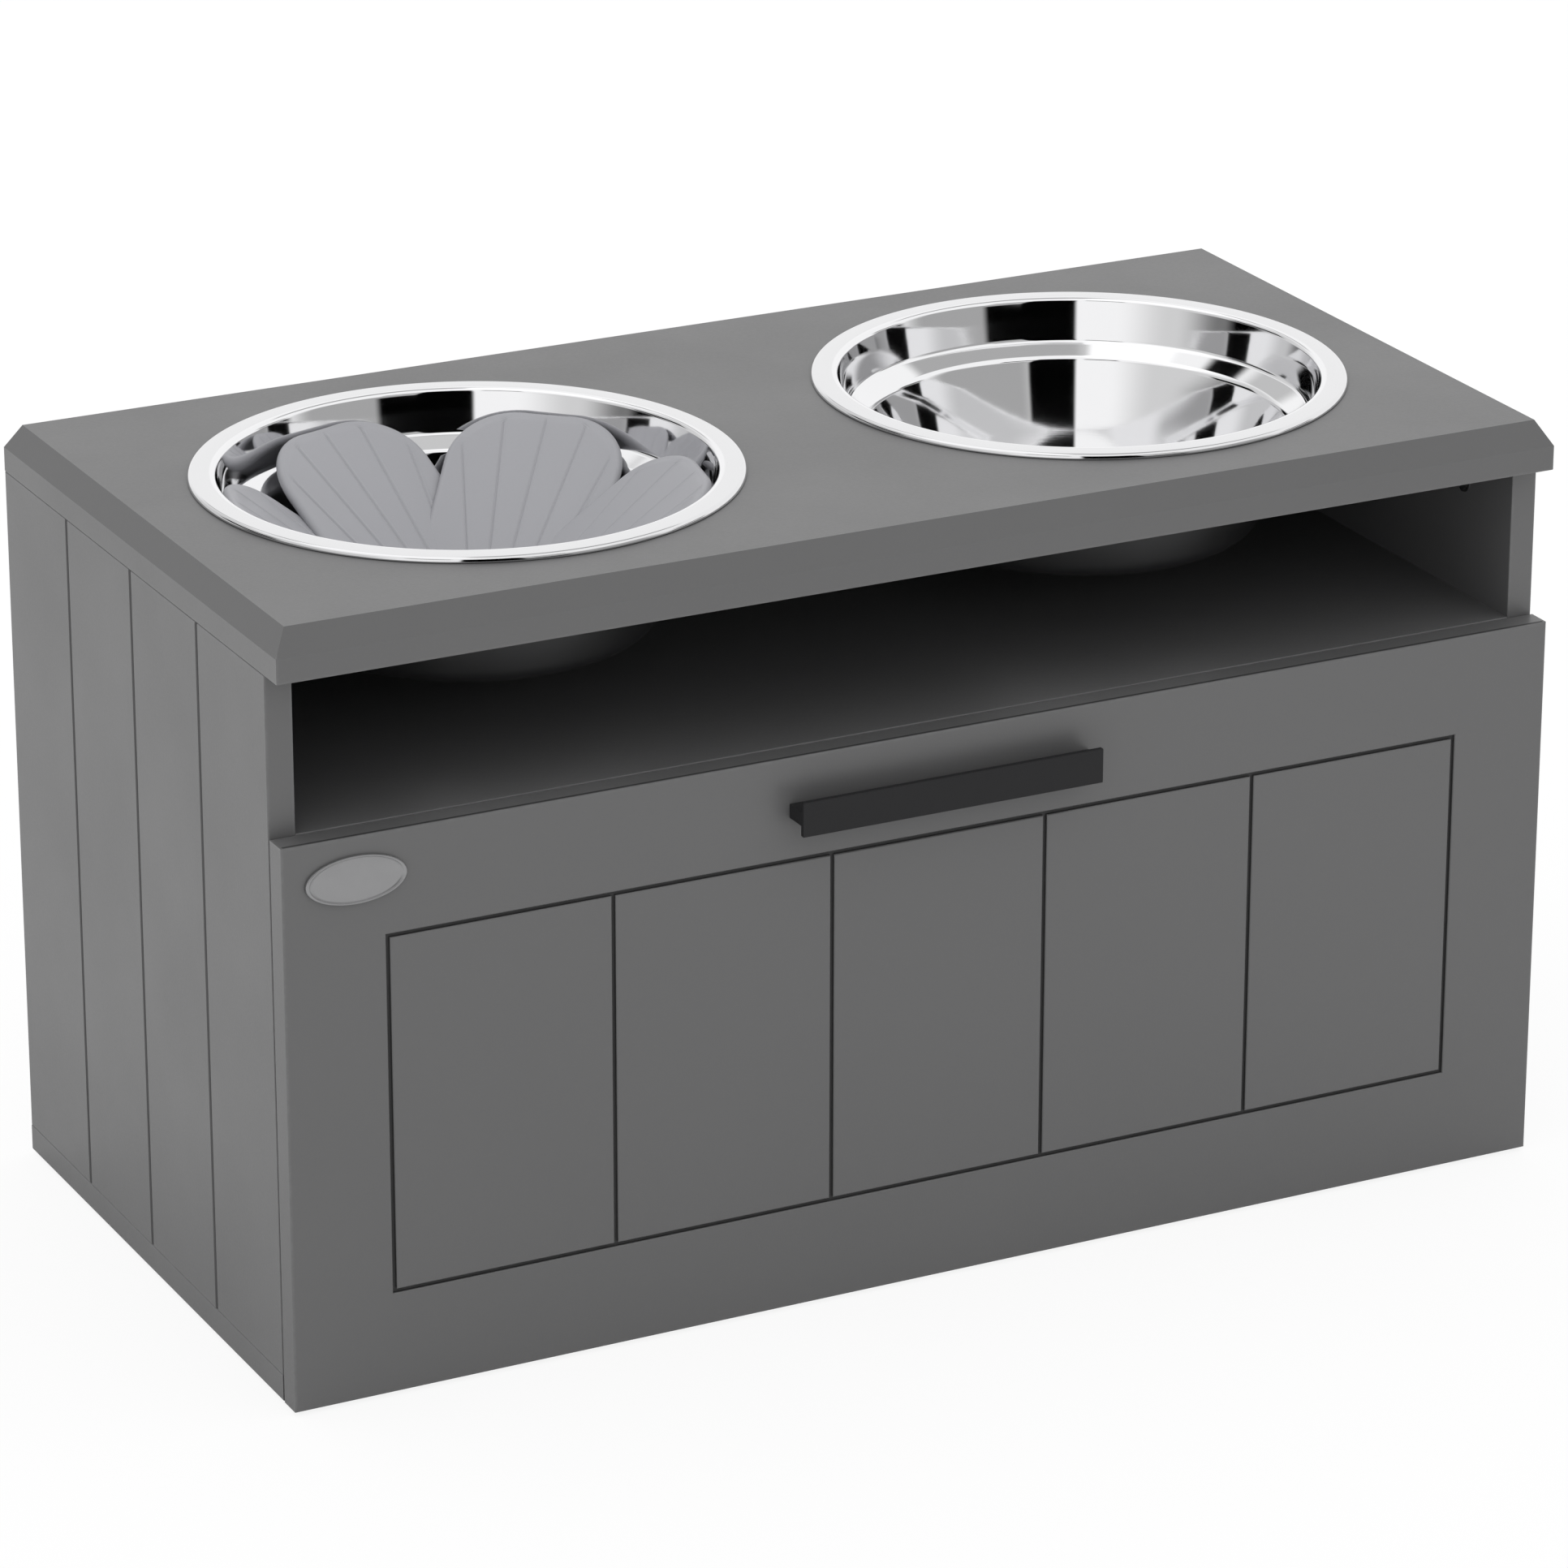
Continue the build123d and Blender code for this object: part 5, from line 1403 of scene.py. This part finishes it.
    def slide_seats(self) -> list[Seats]:
        """Seats on the slides and under the cabinet: rail screws, pads and the rollers' pins."""
        down = (0.0, 0.0, -1.0)
        return [
            ("cabinet_rail_screws", "flat", "cabinet", "zinc",
             [((side * self.web_x, y, self.rail_screw_z), (-side, 0.0, 0.0))
              for side, y in self.on_sides(self.rail_screw_y)]),
            ("drawer_rail_screws", "short", "drawer", "zinc",
             [((side * self.runner_screw_x, y, self.runner_screw_z), down)
              for side, y in self.on_sides(self.runner_screw_y)]),
            ("foot_pads", "pad", "cabinet", "pad_rubber",
             [((x, y, 0.0), down) for x in self.pad_x for y in self.pad_y]),
            ("front_roller_pins", "rivet", "cabinet", "zinc",
             [((side * self.front_pin[0], *self.front_pin[1:]), (-side, 0.0, 0.0))
              for side in SIDES.values()]),
            ("rear_roller_pins", "rivet", "drawer", "zinc",
             [((side * self.rear_pin[0], *self.rear_pin[1:]), (side, 0.0, 0.0))
              for side in SIDES.values()]),
        ]

    def build(self) -> None:
        """Copy every fitting to its seats."""
        tree = SeatTree()
        zinc = ZincPlate("zinc_fitting", ZINC, roughness=0.32, metallic=1.0, along=(1.0, 1.0, 1.0)).build()
        rubber = SoftRubber("pad_rubber", PAD, roughness=0.8).build()
        kinds = self.kinds()
        groups = self.cabinet_seats() + self.drawer_seats() + self.slide_seats()
        for seed, (node, kind, body, slot, places) in enumerate(groups):
            copy = new_object(kinds[kind].name, kinds[kind].mesh())
            mesh = bpy.data.meshes.new(f"{node}_seats")
            mesh.from_pydata([tuple(part * MM for part in place) for place, _ in places], [], [])
            facing = mesh.attributes.new("facing", "FLOAT_VECTOR", "POINT")
            for index, (_, way) in enumerate(places):
                facing.data[index].vector = way
            piece = new_object(f"{node}_set", mesh)
            material = rubber if slot == "pad_rubber" else zinc
            tree.apply(piece, {"Copy": copy, "Twist": self.twist, "Seed": seed, "Material": material})
            bpy.data.objects.remove(copy)
            settle(piece, body, slot, node)
        for node in ("top_cam_bolts", "shelf_cam_bolts", "drawer_cam_bolts"):
            dress(node, zinc)


@dataclass(frozen=True)
class Screen:
    """A screen in the studio that only metal shows: degrees round and up, and how bright it is."""

    start: float
    end: float
    low: float
    high: float
    level: float
    soft_side: float = 2.0
    soft_edge: float = 2.0

    def mask(self, turn: Wire, rise: Wire) -> Wire:
        """1 inside the screen and 0 outside.

        Args:
            turn: Degrees round the room.
            rise: Degrees above the floor's level.

        Returns:
            The share of the screen.
        """
        inside = turn.fade(self.start - self.soft_side, self.start + self.soft_side)
        inside = inside * turn.fade(self.end - self.soft_side, self.end + self.soft_side, 1.0, 0.0)
        inside = inside * rise.fade(self.low - self.soft_edge, self.low + self.soft_edge)
        return inside * rise.fade(self.high - self.soft_edge, self.high + self.soft_edge, 1.0, 0.0)


@dataclass
class Studio:
    """White room: floor, soft lamps and the camera."""

    eye: Point3 = (-1.3013, -2.5613, 1.2896)
    target: Point3 = (0.0024, 0.0065, 0.1770)
    roll: float = 0.069
    lens: float = 160.748
    surround: float = 0.9
    zenith: float = 1.45
    open_level: float = 1.05
    floor_half: float = 9.0
    floor_tone: float = 0.82
    floor_glow: float = 0.88
    sensor: float = 36.0
    lamp_aim: Point3 = (0.0, 0.0, 0.2)
    screens: Sequence[Screen] = (
        Screen(120.0, 185.0, -20.0, 36.0, 0.42, 10.0, 5.0),
        Screen(240.0, 350.0, -20.0, 42.0, 0.72, 14.0, 6.0),
        Screen(268.0, 310.0, -20.0, 11.0, 0.2, 12.0, 3.0),
        Screen(181.0, 207.5, -20.0, 52.0, 0.0, 1.2, 1.0),
        Screen(163.0, 190.0, -20.0, 10.0, 0.0, 2.0, 2.0),
        Screen(286.0, 304.0, -20.0, 8.0, 0.0, 4.0, 2.0),
        Screen(96.0, 116.0, -20.0, 5.0, 0.0, 3.0, 2.0),
        Screen(290.0, 325.0, 13.0, 26.0, 0.0, 3.0, 2.0),
        Screen(92.0, 112.0, 12.0, 19.0, 0.0, 3.0, 2.0),
        Screen(213.0, 236.0, 45.0, 52.0, 0.0, 1.5, 1.0),
        Screen(158.0, 182.0, 41.0, 47.0, 0.0, 1.5, 1.0),
        Screen(384.0, 432.0, 44.0, 84.0, 0.46, 3.0, 2.0),
        Screen(352.0, 360.0, 45.0, 54.0, 0.0, 1.5, 1.5),
        Screen(357.0, 370.0, 26.0, 42.0, 0.6, 3.0, 3.0),
    )

    def floor(self) -> None:
        """Pale floor that shows white to the camera and keeps a soft shadow."""
        mesh = bpy.data.meshes.new("studio_floor")
        half = self.floor_half
        mesh.from_pydata([(-half, -half, 0.0), (half, -half, 0.0), (half, half, 0.0), (-half, half, 0.0)],
                         [], [(0, 1, 2, 3)])
        floor = new_object("studio_floor", mesh)
        material = bpy.data.materials.new("studio_white")
        material.use_nodes = True
        shader = Shader(material.node_tree)
        paper = shader.noise(shader.place(), 3.0, 2.0, 0.5)
        colour = shader.shade((self.floor_tone,) * 3, 1.0 + paper.swing(0.01))
        matt = shader.node("ShaderNodeBsdfDiffuse", None, {"Color": colour})
        bright = shader.node("ShaderNodeEmission", None, {"Color": (1, 1, 1, 1), "Strength": 1.0})
        seen = shader.node("ShaderNodeLightPath", output="Is Camera Ray") * self.floor_glow
        mixed = shader.node("ShaderNodeMixShader", None, {0: seen, 1: matt, 2: bright})
        shader.node("ShaderNodeOutputMaterial", None, {"Surface": mixed})
        mesh.materials.append(material)

    def world(self) -> None:
        """Even white surround; metal also shows the black and grey screens that stand round the room."""
        world = bpy.data.worlds.new("studio_world")
        world.use_nodes = True
        bpy.context.scene.world = world
        shader = Shader(world.node_tree)
        x, y, z = shader.split(shader.node("ShaderNodeTexCoord", output="Generated"))
        turn = x.heading(y)
        rise = z.arcsine()
        shown = self.open_level
        for screen in self.screens:
            mask = screen.mask(turn, rise)
            shown = mask * screen.level + (1.0 - mask) * shown
        glossy = shader.node("ShaderNodeLightPath", output="Is Glossy Ray")
        sky = z.fade(0.0, 1.0, self.surround, self.zenith)
        level = glossy * shown + (1.0 - glossy) * sky
        camera = shader.node("ShaderNodeLightPath", output="Is Camera Ray")
        level = camera + (1.0 - camera) * level
        back = shader.node("ShaderNodeBackground", None, {"Color": (1, 1, 1, 1), "Strength": level})
        shader.node("ShaderNodeOutputWorld", None, {"Surface": back})

    def lamp(self, name: str, place: Point3, size: float, watts: float) -> None:
        """Soft square lamp that looks at the middle of the feeder."""
        data = bpy.data.lights.new(name, "AREA")
        data.size = size
        data.energy = watts
        lamp = bpy.data.objects.new(name, data)
        bpy.context.scene.collection.objects.link(lamp)
        lamp.location = place
        aim = Vector(self.lamp_aim) - Vector(place)
        lamp.rotation_euler = aim.to_track_quat("-Z", "Y").to_euler()
        lamp.visible_camera = False

    def camera(self) -> None:
        """Long lens from the front left and above."""
        data = bpy.data.cameras.new("view")
        data.lens = self.lens
        data.sensor_width = self.sensor
        camera = bpy.data.objects.new("view", data)
        bpy.context.scene.collection.objects.link(camera)
        look = (Vector(self.target) - Vector(self.eye)).to_track_quat("-Z", "Y")
        spin = Quaternion((0.0, 0.0, 1.0), radians(self.roll))
        camera.location = self.eye
        camera.rotation_mode = "QUATERNION"
        camera.rotation_quaternion = look @ spin
        bpy.context.scene.camera = camera

    def build(self) -> None:
        """Set up the floor, the light and the camera."""
        self.floor()
        self.world()
        self.lamp("lamp_over", place=(-0.4, 0.5, 2.6), size=1.8, watts=2.0)
        self.camera()
        settings = bpy.context.scene.view_settings
        settings.view_transform = "Standard"


def main() -> None:
    """Build the feeder's looks piece by piece, then the studio."""
    ring = RingTree()
    Carcass().dress()
    Drawer().dress()
    for side in SIDES:
        SteelBowl(side).build()
    SlowFeeder().build(ring)
    HandleBar().build()
    Badge().build()
    RollerSlides().dress()
    Fasteners().build()
    Studio().build()


if __name__ == "__main__":
    logging.basicConfig(level=logging.INFO, format="%(message)s")
    main()
